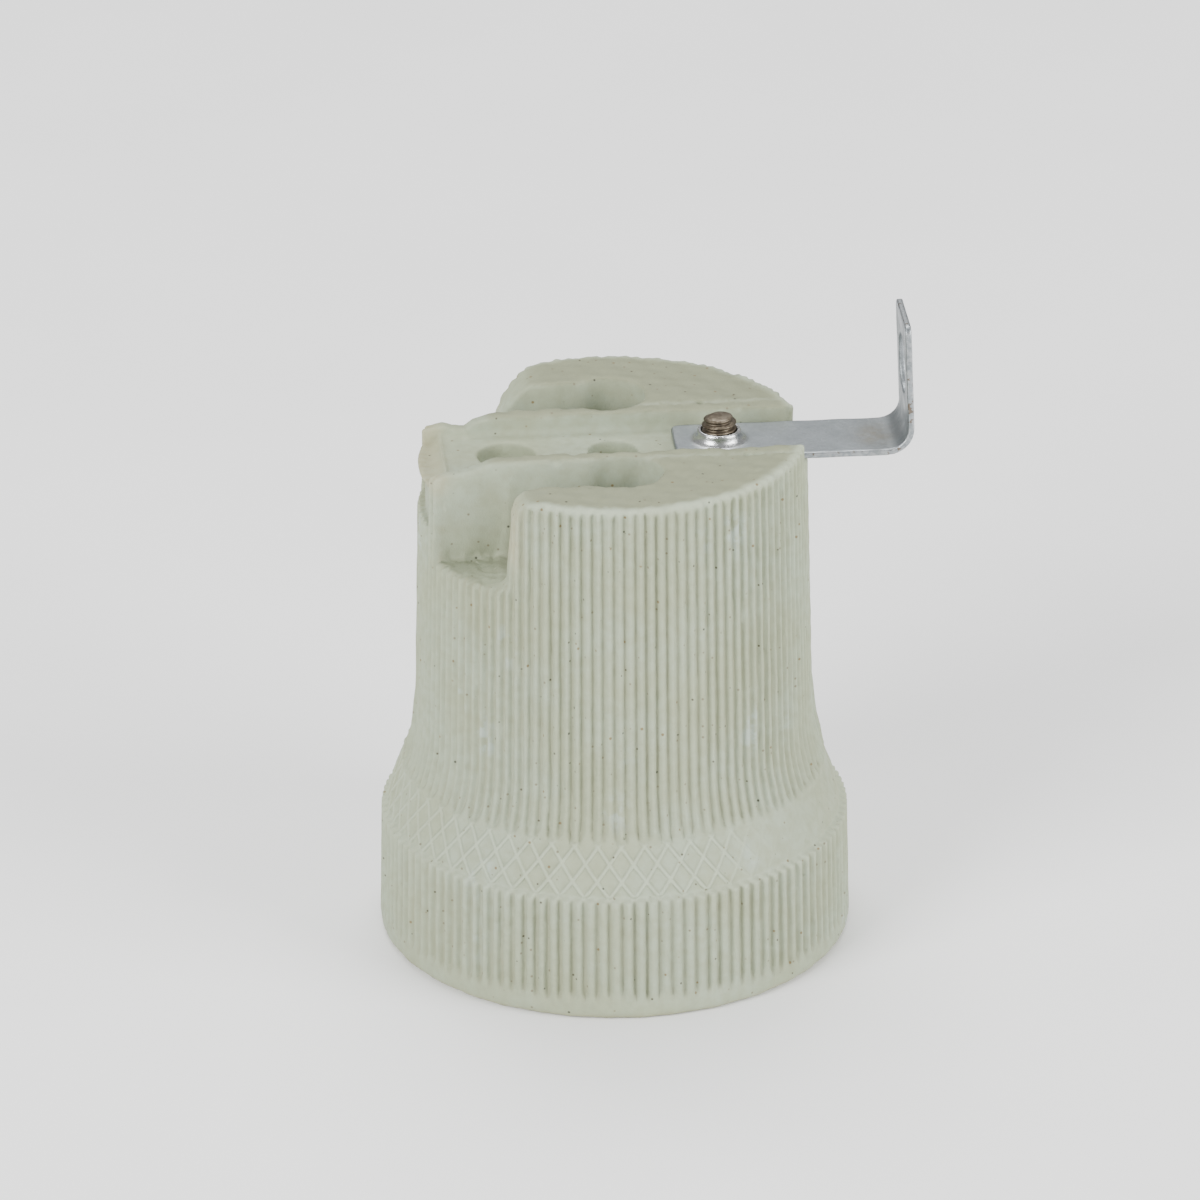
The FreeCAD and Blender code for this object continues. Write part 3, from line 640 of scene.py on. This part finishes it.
def cut_pockets(field):
    """The keyhole pockets and the rounded ends of the outer lands, where the pockets open."""
    front = ((-8.7, 0), (-9.6, 0.35), (-10.5, 1.2), (-10.95, 2.4), (-11.1, 5.5))
    rear = ((-5.9, 0), (-7.2, 0.35), (-8.6, 1.4), (-9.6, 2.6), (-10.3, 4.0), (-10.9, 6.5))

    def pocket(x, y, z):
        return keyhole(x, y) + 0 * z
    for side, shoulder in ((-1, front), (1, rear)):
        outline = [(shoulder[0][0], HEIGHT + 4)] + [(x, HEIGHT - drop) for x, drop in shoulder]
        outline += [(-11.5, POCKET + 0.6), (-12.3, POCKET), (-40, POCKET), (-40, HEIGHT + 4)]

        def land_end(x, y, z, side=side, outline=outline):
            plane = polygon_distance(x[:, 0], z[0], outline)[:, None, :].astype(np.float32)
            return smooth_max(plane, RIDGE - side * y, 0.5)
        field.cut(land_end, (-23, min(0, side * 23), 41), (-5, max(0, side * 23), 53), 0.5)
    field.cut(between(pocket, POCKET, 60, 0.6), (-23, -14, 41), (5, 14, 53), 0.5)


def cut_channel(field):
    """The bracket channel, the bare patch under its free end and the nick at its other end."""
    def channel(x, y, z):
        wavy = 0.07 * np.sin(0.9 * x + 1.1)
        return smooth_max(np.abs(y) - CHANNEL + wavy, channel_floor(x) - z, 0.7)

    def bare(x, y, z):
        patch = np.maximum(np.maximum(np.abs(y) - CHANNEL, x), np.abs(z - 47.2) - 2.0)
        return np.maximum(patch, TOP_RADIUS - 0.60 - np.hypot(x, y))
    field.cut(bare, (-23, -5, 44), (-15, 5, 51), 0.3)
    field.cut(channel, (-23, -6, 49), (23, 6, 53), 0.42)
    field.cut(between(upright(17.9, 4.75, 0.26), FLOOR + 0.1, 60), (17, 4, 50), (19, 6, 53), 0.12)


def cut_holes(field):
    """Recesses and holes along the channel, and the holes in the pocket floors."""
    free = between(upright(-STATION, 0, FREE_RECESS), FLOOR - 1.6, 60)
    middle = between(upright(0, 0, MIDDLE_RECESS), FLOOR - 1.8, 60)
    field.cut(free, (-14, -3.5, 48), (-7, 3.5, 53), 0.35)
    field.cut(middle, (-3, -3, 48), (3, 3, 53), 0.35)
    for x in (-STATION, STATION):
        recess = between(upright(x, 0, HEAD_RECESS), 30, PARTITION + 4.3)
        field.cut(upright(x, 0, FIXING_HOLE), (x - 3, -3, 30), (x + 3, 3, 53), 0.25)
        field.cut(recess, (x - 5, -5, 30), (x + 5, 5, 41), 0.3)
    for side in (-1, 1):
        y = side * POCKET_MIDDLE
        terminal_hole = between(upright(WELL_X, y, TERMINAL_HOLE), 37, 60)
        field.cut(terminal_hole, (-3, y - 3, 36), (4, y + 3, 44), 0.2)
        y = side * RIVET_Y
        field.cut(upright(INNER_RIVET_X, y, RIVET_HOLE), (-6, y - 2, 33), (-2, y + 2, 44), 0.2)
    field.cut(upright(OUTER_RIVET_X, RIVET_Y, RIVET_HOLE), (-9, 5, 33), (-5, 10, 44), 0.2)


def cut_mouth(field):
    """The wide mouth, its ledge, and the bore that holds the screw shell."""
    outline = [(-30, -8), (MOUTH, -8), (MOUTH, 0), (MOUTH - 0.4, MOUTH_TOP), (BORE, MOUTH_TOP),
               (BORE, PARTITION), (-30, PARTITION)]

    def mouth(x, y, z):
        radii = np.linspace(0, 34, 600)
        table = polygon_distance(radii[:, None], z[0], outline)
        at = np.clip(np.hypot(x, y)[:, :, 0] / radii[1], 0, 598)
        low = at.astype(int)
        share = (at - low)[:, :, None]
        return (table[low] * (1 - share) + table[low + 1] * share).astype(np.float32)
    field.cut(mouth, (-21, -21, -1), (21, 21, 36), 0.7)


def chip_edges(field):
    """Small nicks along the top's outer edge and the pockets' and channel's edges."""
    places = []
    for _ in range(80):
        angle = random.uniform(-math.pi, math.pi)
        places.append((TOP_RADIUS * math.cos(angle), TOP_RADIUS * math.sin(angle), HEIGHT))
    for _ in range(60):
        x = random.uniform(-12, 18)
        places.append((x, random.choice([-1, 1]) * random.choice([CHANNEL, RIDGE]), HEIGHT))
    for x, y, z in places:
        size = random.uniform(0.15, 0.45)
        stretch = random.uniform(0.5, 1.6)

        def nick(px, py, pz):
            return np.sqrt((px - x) ** 2 + (py - y) ** 2 + ((pz - z) * stretch) ** 2) - size
        field.cut(nick, (x - 1, y - 1, z - 1), (x + 1, y + 1, z + 1), 0.3)


def roughen(field):
    """Uneven skin from the mould and the fire, and a coarser pocket floor."""
    x, y, z = field.grids()
    for size, depth in ((5.3, 0.035), (2.1, 0.020), (1.05, 0.014)):
        k = 2 * math.pi / size
        a, b, c = random.uniform(0, 6.28, 3)
        wave = (np.sin(k * (x + 0.6 * y) + a) * np.sin(k * (y - 0.5 * x) + b)).astype(np.float32)
        field.values += depth * (wave * np.sin(0.8 * k * z + c + 0.9 * wave) + 0.6).astype(np.float32)
    part = field.part((-19, -17, POCKET - 0.6), (-6, 17, POCKET + 0.5), 0)
    x, y, z = field.grids(part)
    coarse = np.sin(3.1 * x + 2 * np.sin(1.9 * y)) * np.sin(3.7 * y + 1.5 * np.sin(2.3 * x))
    field.values[part] += 0.08 * coarse + 0 * z


def tint_porcelain(piece):
    """Marks where the ribs, the cone and the thin edges are, for the material, with the painted shade
    over the top lands and in the pockets and the painted highlight along the thin edges.
    """
    x, y, z = vertices_of(piece).T
    radius = np.hypot(x, y)
    at_top = smooth_step(HEIGHT - 0.9, HEIGHT - 0.3, z)
    on_barrel = (radius > barrel_radius(z) - 1.0) * smooth_step(17.9, 18.6, z)
    paint(piece, "barrel", on_barrel * smooth_step(HEIGHT - 0.7, HEIGHT - 1.5, z))
    paint(piece, "skirt", (radius > 21.9) * smooth_step(1.4, 2.6, z) * smooth_step(12.9, 12.6, z))
    on_cone = (radius > 20.0) * smooth_step(12.8, 13.1, z) * smooth_step(18.2, 17.8, z)
    paint(piece, "cone", on_cone * crispness(x))
    top_edge = smooth_step(TOP_RADIUS - 0.9, TOP_RADIUS - 0.3, radius) * at_top
    skirt_edge = (radius > 22.0) * smooth_step(12.4, 12.7, z) * smooth_step(13.2, 12.95, z)
    ridge_edge = smooth_step(0.5, 0.1, np.abs(np.abs(y) - RIDGE))
    ridge_edge = ridge_edge * smooth_step(HEIGHT - 0.8, HEIGHT - 0.2, z)
    # Mask for the painted highlight along the thin edges.
    paint(piece, "edge", np.clip(top_edge + 0.8 * skirt_edge + 0.6 * ridge_edge, 0, 1))
    inside = smooth_step(-0.1, 0.5, TOP_RADIUS - 0.7 - radius)
    # Mask for the painted shade over the top lands.
    paint(piece, "top", smooth_step(HEIGHT - 0.6, HEIGHT - 0.2, z) * inside)
    # Mask for the painted shade in the pockets, stronger towards their floors.
    in_pocket = smooth_step(0.1, -0.1, keyhole(x, y)) * smooth_step(HEIGHT - 0.8, HEIGHT - 5, z)
    in_pocket = in_pocket * smooth_step(-13, -8, x) * (z > POCKET - 0.5)
    paint(piece, "pocket_shade", in_pocket)
    rim = smooth_step(0.9, 0.1, z)
    tab = smooth_step(-15.5, -17.8, x) * smooth_step(48.5, 50, z) * (np.abs(y) < 7)
    ends = smooth_step(-9.5, -11.2, x) * smooth_step(44, 47, z) * (np.abs(y) > 12) * 0.5
    paint(piece, "warm", np.clip(rim * 0.4 + tab * 0.5 + ends, 0, 1))


def porcelain():
    xs = steps((-23.7, 23.7, 0.17))
    zs = steps((-0.3, 3.5, 0.2), (3.5, 12.2, 0.36), (12.2, 19.4, 0.16), (19.4, 40.5, 0.42),
               (40.5, 53.0, 0.17))
    field = Field(xs, xs, zs)
    field.set(outside)
    for carve in (lozenge_ridges, cut_top, cut_ridge_ends, cut_pockets, cut_channel, cut_holes,
                  cut_mouth, chip_edges, roughen):
        carve(field)
    vertices, quads = field.mesh()
    vertices[:, 2] = np.maximum(vertices[:, 2], 0)      # the rim stands on the floor
    piece = make_piece("porcelain", vertices, quads, "holder", "porcelain_body",
                       porcelain_material())
    thin_out(piece, 196000)
    tint_porcelain(piece)


# ---- Bracket ----

def bracket_line():
    """Middle line of the bent strip in XZ, inside end first."""
    middle = BEND + SHEET / 2
    centre = (REACH - BEND - SHEET, FLOOR + BEND + SHEET)
    points = [(strip_low[0], FLOOR + SHEET / 2)]
    for step in range(15):
        turn = (math.pi / 2 + LEG_LEAN) * step / 14
        points.append((centre[0] + middle * math.sin(turn), centre[1] - middle * math.cos(turn)))
    x, z = points[-1]
    leg = (FLOOR + LEG - z) / math.cos(LEG_LEAN)
    return points + [(x - math.sin(LEG_LEAN) * leg, z + math.cos(LEG_LEAN) * leg)]


def bent_strip(x, y, z):
    """Distance to the strip, with round corners at both ends of its flat length."""
    line = bracket_line()
    px, pz = x[:, 0], z[0]
    off = np.full((x.shape[0], z.shape[2]), 1e9)
    along = np.zeros(off.shape)
    done = 0.0
    for number, ((x0, z0), (x1, z1)) in enumerate(zip(line, line[1:])):
        length = math.hypot(x1 - x0, z1 - z0)
        dx, dz = (x1 - x0) / length, (z1 - z0) / length
        low = -9 if number == 0 else 0
        high = 9 + length if number == len(line) - 2 else length
        reach = np.clip((px - x0) * dx + (pz - z0) * dz, low, high)
        found = np.hypot(px - x0 - reach * dx, pz - z0 - reach * dz)
        nearer = found < off
        off = np.where(nearer, found, off)
        along = np.where(nearer, done + reach, along)
        done += length
    plan = rounded_rectangle(along[:, None, :], y, (0, -STRIP_HALF), (done, STRIP_HALF), 0.8)
    return smooth_max((off - SHEET / 2)[:, None, :], plan, 0.16)


def bracket():
    xs = steps((strip_low[0] - 0.5, strip_high[0] + 0.5, 0.13))
    field = Field(xs, steps((-4.5, 4.5, 0.13)), steps((FLOOR - 0.5, strip_high[2] + 0.5, 0.13)))
    field.set(bent_strip)
    collar = between(upright(STATION, 0, COLLAR), FLOOR + 0.2, FLOOR + SHEET + 1.25, 0.25)
    field.add(collar, (STATION - 4, -4, FLOOR - 0.2), (STATION + 4, 4, FLOOR + 3), 1.1)
    x, y, z = field.grids()
    field.values = np.maximum(field.values, FLOOR - z)
    hole = upright(STATION, 0, TAPPED_HOLE)
    field.cut(hole, (STATION - 3, -3, FLOOR - 1), (STATION + 3, 3, FLOOR + 3), 0.15)

    def slot(x, y, z):
        return np.hypot(np.maximum(np.abs(z - FLOOR - LEG_SLOT) - 0.6, 0), y) - 2.4 + 0 * x
    field.cut(slot, (26, -3, FLOOR + 4), (31, 3, FLOOR + 12), 0.2)
    waves = np.sin(x * 1.3 + 0.7) * np.sin(y * 1.1 + 0.3) * np.sin(z * 1.2) + 0.6
    field.values += (0.015 * waves).astype(np.float32)
    vertices, quads = field.mesh()
    piece = make_piece("bracket", vertices, quads, "holder", "mounting_bracket",
                       zinc_material())
    thin_out(piece, 40000)
    x, y, z = vertices_of(piece).T
    leg_end = smooth_step(strip_high[2] - 0.3, strip_high[2], z)
    # Edge mask for the bare metal, the painted highlight and the rust of the cut edges.
    paint(piece, "edge", smooth_step(STRIP_HALF - 0.20, STRIP_HALF - 0.03, np.abs(y)) + leg_end)
    paint(piece, "stain", np.exp(-((x - 25.6) / 1.7) ** 2 - ((y + 0.3) / 2.6) ** 2) * (z < FLOOR + 2))
    raised = smooth_step(FLOOR + 0.6, FLOOR + 0.9, z)
    paint(piece, "collar", smooth_step(3.1, 2.5, np.hypot(x - STATION, y)) * raised)


# ---- Screws ----

def screw(name, node, body, centre, head, tip, material, slot_turn=0.0):
    """M3.5 cheese-head screw with a rolled thread. Its head has two heights, above or below the tip."""
    low, high = head
    up = low >= tip
    face = high if up else low
    shank = (tip, low + 0.1) if up else (high - 0.1, tip)
    xs = steps((-3.4, 3.4, 0.1))
    field = Field(xs, xs, steps((min(low, tip) - 0.4, max(high, tip) + 0.4, 0.085)))

    def thread(x, y, z):
        wave = np.abs((z / SCREW_PITCH - np.arctan2(y, x) / (2 * math.pi)) % 1 - 0.5) * 2
        groove = 0.32 * smooth_step(0.15, 0.95, wave)
        end = 0.35 * smooth_step(0.7, 0.0, np.abs(z - tip))
        return (np.hypot(x, y) - SCREW_RADIUS + groove + end) * SCREW_SLOPE

    def slot(x, y, z):
        across = np.abs(math.cos(slot_turn) * y - math.sin(slot_turn) * x) - 0.45
        return np.maximum(across, np.abs(z - face) - 1.1)
    cheese = between(upright(0, 0, SCREW_HEAD), low, high, 0.5)
    field.set(between(thread, *shank, 0.15))
    field.values = np.minimum(field.values, cheese(*field.grids()))
    field.cut(slot, (-4, -4, face - 1.2), (4, 4, face + 1.2), 0.12)
    vertices, quads = field.mesh()
    vertices[:, :2] += centre
    piece = make_piece(name, vertices, quads, body, node, material)
    thin_out(piece, 24000)


# ---- Sheet pieces ----

def screw_shell(material):
    """Rolled sleeve with its round thread, and the floor segment that the rivets hold."""
    rows, sides = 130, 96
    level = np.linspace(SHELL_EDGE, PARTITION, rows)[:, None]
    angle = (np.arange(sides) / sides * 2 * math.pi)[None, :]
    wave = 0.5 + 0.5 * np.cos(2 * math.pi * level / THREAD_PITCH - angle)
    run_out = np.minimum(1, np.minimum(level - SHELL_EDGE, PARTITION - level) / 1.4)
    inner = SHELL_ROOT - THREAD_DEPTH * wave * smooth_step(0, 1, run_out)
    skins = []
    for radius in (inner, inner + 0.33):
        skins.append(np.stack([radius * np.cos(angle), radius * np.sin(angle), level + 0 * radius], 2))
    sleeve = np.concatenate([skins[0], skins[1][::-1]]).reshape(-1, 3)
    sleeve_faces = grid_faces(2 * rows, sides, True, True)[:, ::-1]

    zs = steps((PARTITION - 0.7, PARTITION + 0.3, 0.1))
    field = Field(steps((-13.6, 13.6, 0.2)), steps((3.2, 13.8, 0.2)), zs)

    def segment(x, y, z):
        plan = np.maximum(np.hypot(x, y) - SHELL_ROOT - 0.05, 3.6 - y)
        return smooth_max(plan, np.maximum(PARTITION - 0.4 - z, z - PARTITION), 0.15)
    field.set(segment)
    for x in (INNER_RIVET_X, OUTER_RIVET_X):
        hole = upright(x, RIVET_Y, RIVET_SHANK)
        field.cut(hole, (x - 2, RIVET_Y - 2, 34), (x + 2, RIVET_Y + 2, 36), 0.05)
    floor, floor_faces = field.mesh()
    vertices = np.concatenate([sleeve, floor])
    faces = np.concatenate([sleeve_faces, floor_faces + len(sleeve)])
    make_piece("shell_sleeve", vertices, faces, "holder", "screw_shell", material)


def flat_piece(name, body, node, material, corner, edge, holes, end_round=None):
    """Flat metal piece in its CAD node's box, with round corners or a round end, and round holes."""
    low, high = node_box(node)
    middle, half = (low + high) / 2, (high - low) / 2
    field = Field(*[steps((a - 0.4, b + 0.4, 0.12)) for a, b in zip(low, high)])

    def block(x, y, z):
        plan = rounded_rectangle(x, y, low, high, corner)
        if end_round:
            end = np.hypot(x - WELL_X, y - middle[1]) - end_round
            plan = np.maximum(plan, np.where(x > WELL_X, end, -9))
        return smooth_max(plan, np.abs(z - middle[2]) - half[2], edge)
    field.set(block)
    for x, y, radius in holes:
        field.cut(upright(x, y, radius), low - 1, high + 1, edge * 0.6)
    vertices, quads = field.mesh()
    thin_out(make_piece(name, vertices, quads, body, node, material), 8000)


def rivet(node, material):
    """Rivet with a shank and two domed heads."""
    low, high = node_box(node)
    head, dome, shank = 1.5, 0.7, 1.2
    foot, top = low[2] + dome, high[2] - dome
    upward = np.linspace(0, math.pi / 2 - 0.25, 7)
    outline = [(0, low[2])]
    outline += [(head * math.cos(t), foot - dome * math.sin(t)) for t in upward[::-1]]
    outline += [(shank, foot), (shank, top)]
    outline += [(head * math.cos(t), top + dome * math.sin(t)) for t in upward]
    outline += [(0, high[2])]
    vertices, faces = turned(outline, 40, ((low[0] + high[0]) / 2, (low[1] + high[1]) / 2))
    make_piece(node + "_domed", vertices, faces, "holder", node, material)


def contact_button(material):
    """Domed contact point riveted through the leaf's tip."""
    low, high = node_box("contact_button")
    leaf = low[2] + 1.0
    outline = [(0, low[2]), (0.5, low[2] + 0.02)]
    outline += arc_points((0.95, low[2] + 0.68), 0.65, -80, 0)
    outline += [(1.6, leaf), (0.9, leaf), (0.9, leaf + 0.4), (1.25, leaf + 0.4)]
    outline += arc_points((1.05, high[2] - 0.25), 0.22, 10, 80, 3)
    outline += [(0.5, high[2]), (0, high[2])]
    vertices, faces = turned(outline, 48, (0, 0))
    make_piece("button_domed", vertices, faces, "button_part", "contact_button",
               material)


def contact_leaf(material):
    """Bent leaf spring with its tip at the contact button."""
    low, high = node_box("centre_contact_spring")
    top, tip, thick, half_width = high[2], low[2], 0.4, 2.3
    reach = math.hypot(INNER_RIVET_X, RIVET_Y)
    line = [(-half_width, top - thick / 2), (2.6, top - thick / 2),
            (reach - half_width, tip + thick / 2), (reach + half_width, tip + thick / 2)]
    turn = math.atan2(RIVET_Y, -INNER_RIVET_X)
    along_x, along_y = math.cos(turn), math.sin(turn)
    xs, ys = [steps((low[i] - 0.4, high[i] + 0.4, 0.11)) for i in (0, 1)]
    field = Field(xs, ys, steps((tip - 0.4, top + 0.4, 0.09)))

    def leaf(x, y, z):
        s = (x - INNER_RIVET_X) * along_x + (y + RIVET_Y) * along_y
        across = np.abs((y + RIVET_Y) * along_x - (x - INNER_RIVET_X) * along_y)
        off = 1e9
        for (s0, z0), (s1, z1) in zip(line, line[1:]):
            ds, dz = s1 - s0, z1 - z0
            share = np.clip(((s - s0) * ds + (z - z0) * dz) / (ds ** 2 + dz ** 2), 0, 1)
            off = np.minimum(off, np.hypot(s - s0 - share * ds, z - z0 - share * dz))
        plan = rounded_rectangle(s, across, (-half_width, -half_width),
                                 (reach + half_width, half_width), 0.7)
        level = np.maximum(tip - z, z - top)
        return smooth_max(np.maximum(off - thick / 2, level), plan, 0.12)
    field.set(leaf)
    x, y = INNER_RIVET_X, -RIVET_Y
    field.cut(upright(x, y, RIVET_SHANK), (x - 2, y - 2, top - 1), (x + 2, y + 2, top + 1), 0.05)
    field.cut(upright(0, 0, 0.95), (-2, -2, tip - 1), (2, 2, tip + 1), 0.05)
    vertices, quads = field.mesh()
    piece = make_piece("contact_leaf", vertices, quads, None, "centre_contact_spring",
                       material)
    thin_out(piece, 20000)
    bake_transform(piece)


def terminal(side, sign, slot_turn, steel, brass):
    """Screw, clamp plate and terminal plate of one wire pocket."""
    low, high = node_box(side + "_terminal_screw")
    centre = (WELL_X, sign * POCKET_MIDDLE)
    screw(side + "_screw_threaded", side + "_terminal_screw", side + "_screw_part", centre,
          (high[2] - 2.2, high[2]), low[2], steel, slot_turn)
    flat_piece(side + "_clamp_plate", side + "_clamp_part", side + "_wire_clamp", steel,
               0.6, 0.25, [(*centre, CLAMP_HOLE)])
    holes = [(*centre, TAPPED_HOLE), (INNER_RIVET_X, sign * RIVET_Y, RIVET_SHANK)]
    if side == "rear":
        holes.append((OUTER_RIVET_X, RIVET_Y, RIVET_SHANK))
    flat_piece(side + "_plate", "holder", side + "_terminal_plate", brass, 0.5, 0.2, holes,
               (plate_high[1] - plate_low[1]) / 2)


def build():
    porcelain()
    bracket()
    brown_steel = metal_material("screw_steel", (0.190, 0.160, 0.120), (0.080, 0.064, 0.046), 0.36,
                                 0.03, 0.7)
    bright_steel = metal_material("washer_steel", (0.50, 0.50, 0.48), (0.30, 0.30, 0.29), 0.33)
    brass = metal_material("brass", (0.55, 0.41, 0.18), (0.36, 0.26, 0.11), 0.30)
    shell_metal = metal_material("shell_metal", (0.66, 0.66, 0.65), (0.50, 0.50, 0.49), 0.28)
    spring_metal = metal_material("contact_metal", (0.62, 0.50, 0.27), (0.46, 0.36, 0.18), 0.24)

    low, high = node_box("bracket_screw")
    screw("bracket_screw_threaded", "bracket_screw", "holder", (STATION, 0),
          (low[2], low[2] + 2.0), high[2], brown_steel)
    terminal("front", -1, 0.5, brown_steel, brass)
    terminal("rear", 1, 1.2, brown_steel, brass)
    screw_shell(shell_metal)
    for node in ("front_terminal_rivet", "rear_inner_rivet", "rear_outer_rivet"):
        rivet(node, brass)
    contact_button(spring_metal)
    contact_leaf(spring_metal)
    for node in ("bracket_spring_washer", "bracket_flat_washer"):
        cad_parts[node].material_slots[0].material = bright_steel


# ---- Stage, light and camera ----

def stage():
    material = Shader("pale_floor")
    speckle = material.noise(30, 3)
    colour = material.mix(material.ramp(speckle, 0.3, 0.7), (0.88, 0.88, 0.88), (0.90, 0.90, 0.90))
    roughness = material.ramp(speckle, 0, 1, 0.9, 0.95)
    floor_material = material.finish(colour, roughness, material.bump(speckle, 0.01))
    bpy.ops.mesh.primitive_plane_add(size=8)
    floor = bpy.context.object
    floor.name = "floor"
    floor.data.materials.append(floor_material)
    world = bpy.data.worlds.new("world")
    bpy.context.scene.world = world
    world.use_nodes = True
    background = world.node_tree.nodes["Background"].inputs
    background["Color"].default_value = (1, 1, 1, 1)
    background["Strength"].default_value = 0.42


def area_light(name, location, size, power):
    """Soft square light aimed at the part. Its size and place are in metres."""
    data = bpy.data.lights.new(name, "AREA")
    data.size = size
    data.energy = power
    light = bpy.data.objects.new(name, data)
    bpy.context.scene.collection.objects.link(light)
    light.location = location
    light.rotation_mode = "QUATERNION"
    light.rotation_quaternion = (Vector(location) - Vector((0, 0, 0.03))).to_track_quat("Z", "Y")


def camera():
    """Long lens from the photographer's height, turned a little to the object's left."""
    azimuth, elevation, roll = math.radians(-4.8), math.radians(25.06), math.radians(-0.3)
    distance, target = 0.8, Vector((-0.00132, 0, 0.03442))
    back = Vector((math.sin(azimuth) * math.cos(elevation), -math.cos(azimuth) * math.cos(elevation),
                   math.sin(elevation)))
    data = bpy.data.cameras.new("camera")
    data.lens = 244.44
    data.sensor_width = 36
    data.clip_start, data.clip_end = 0.01, 20
    made = bpy.data.objects.new("camera", data)
    bpy.context.scene.collection.objects.link(made)
    made.location = target + back * distance
    made.rotation_mode = "QUATERNION"
    rolled = Matrix.Rotation(roll, 3, "Z").to_quaternion()
    made.rotation_quaternion = back.to_track_quat("Z", "Y") @ rolled
    bpy.context.scene.camera = made


build()
stage()
area_light("key", (-0.56, -0.50, 0.38), 0.40, 10.5)
area_light("fill", (0.66, -0.44, 0.28), 0.5, 10.5)
area_light("top", (0.0, 0.35, 0.85), 0.6, 9)
camera()
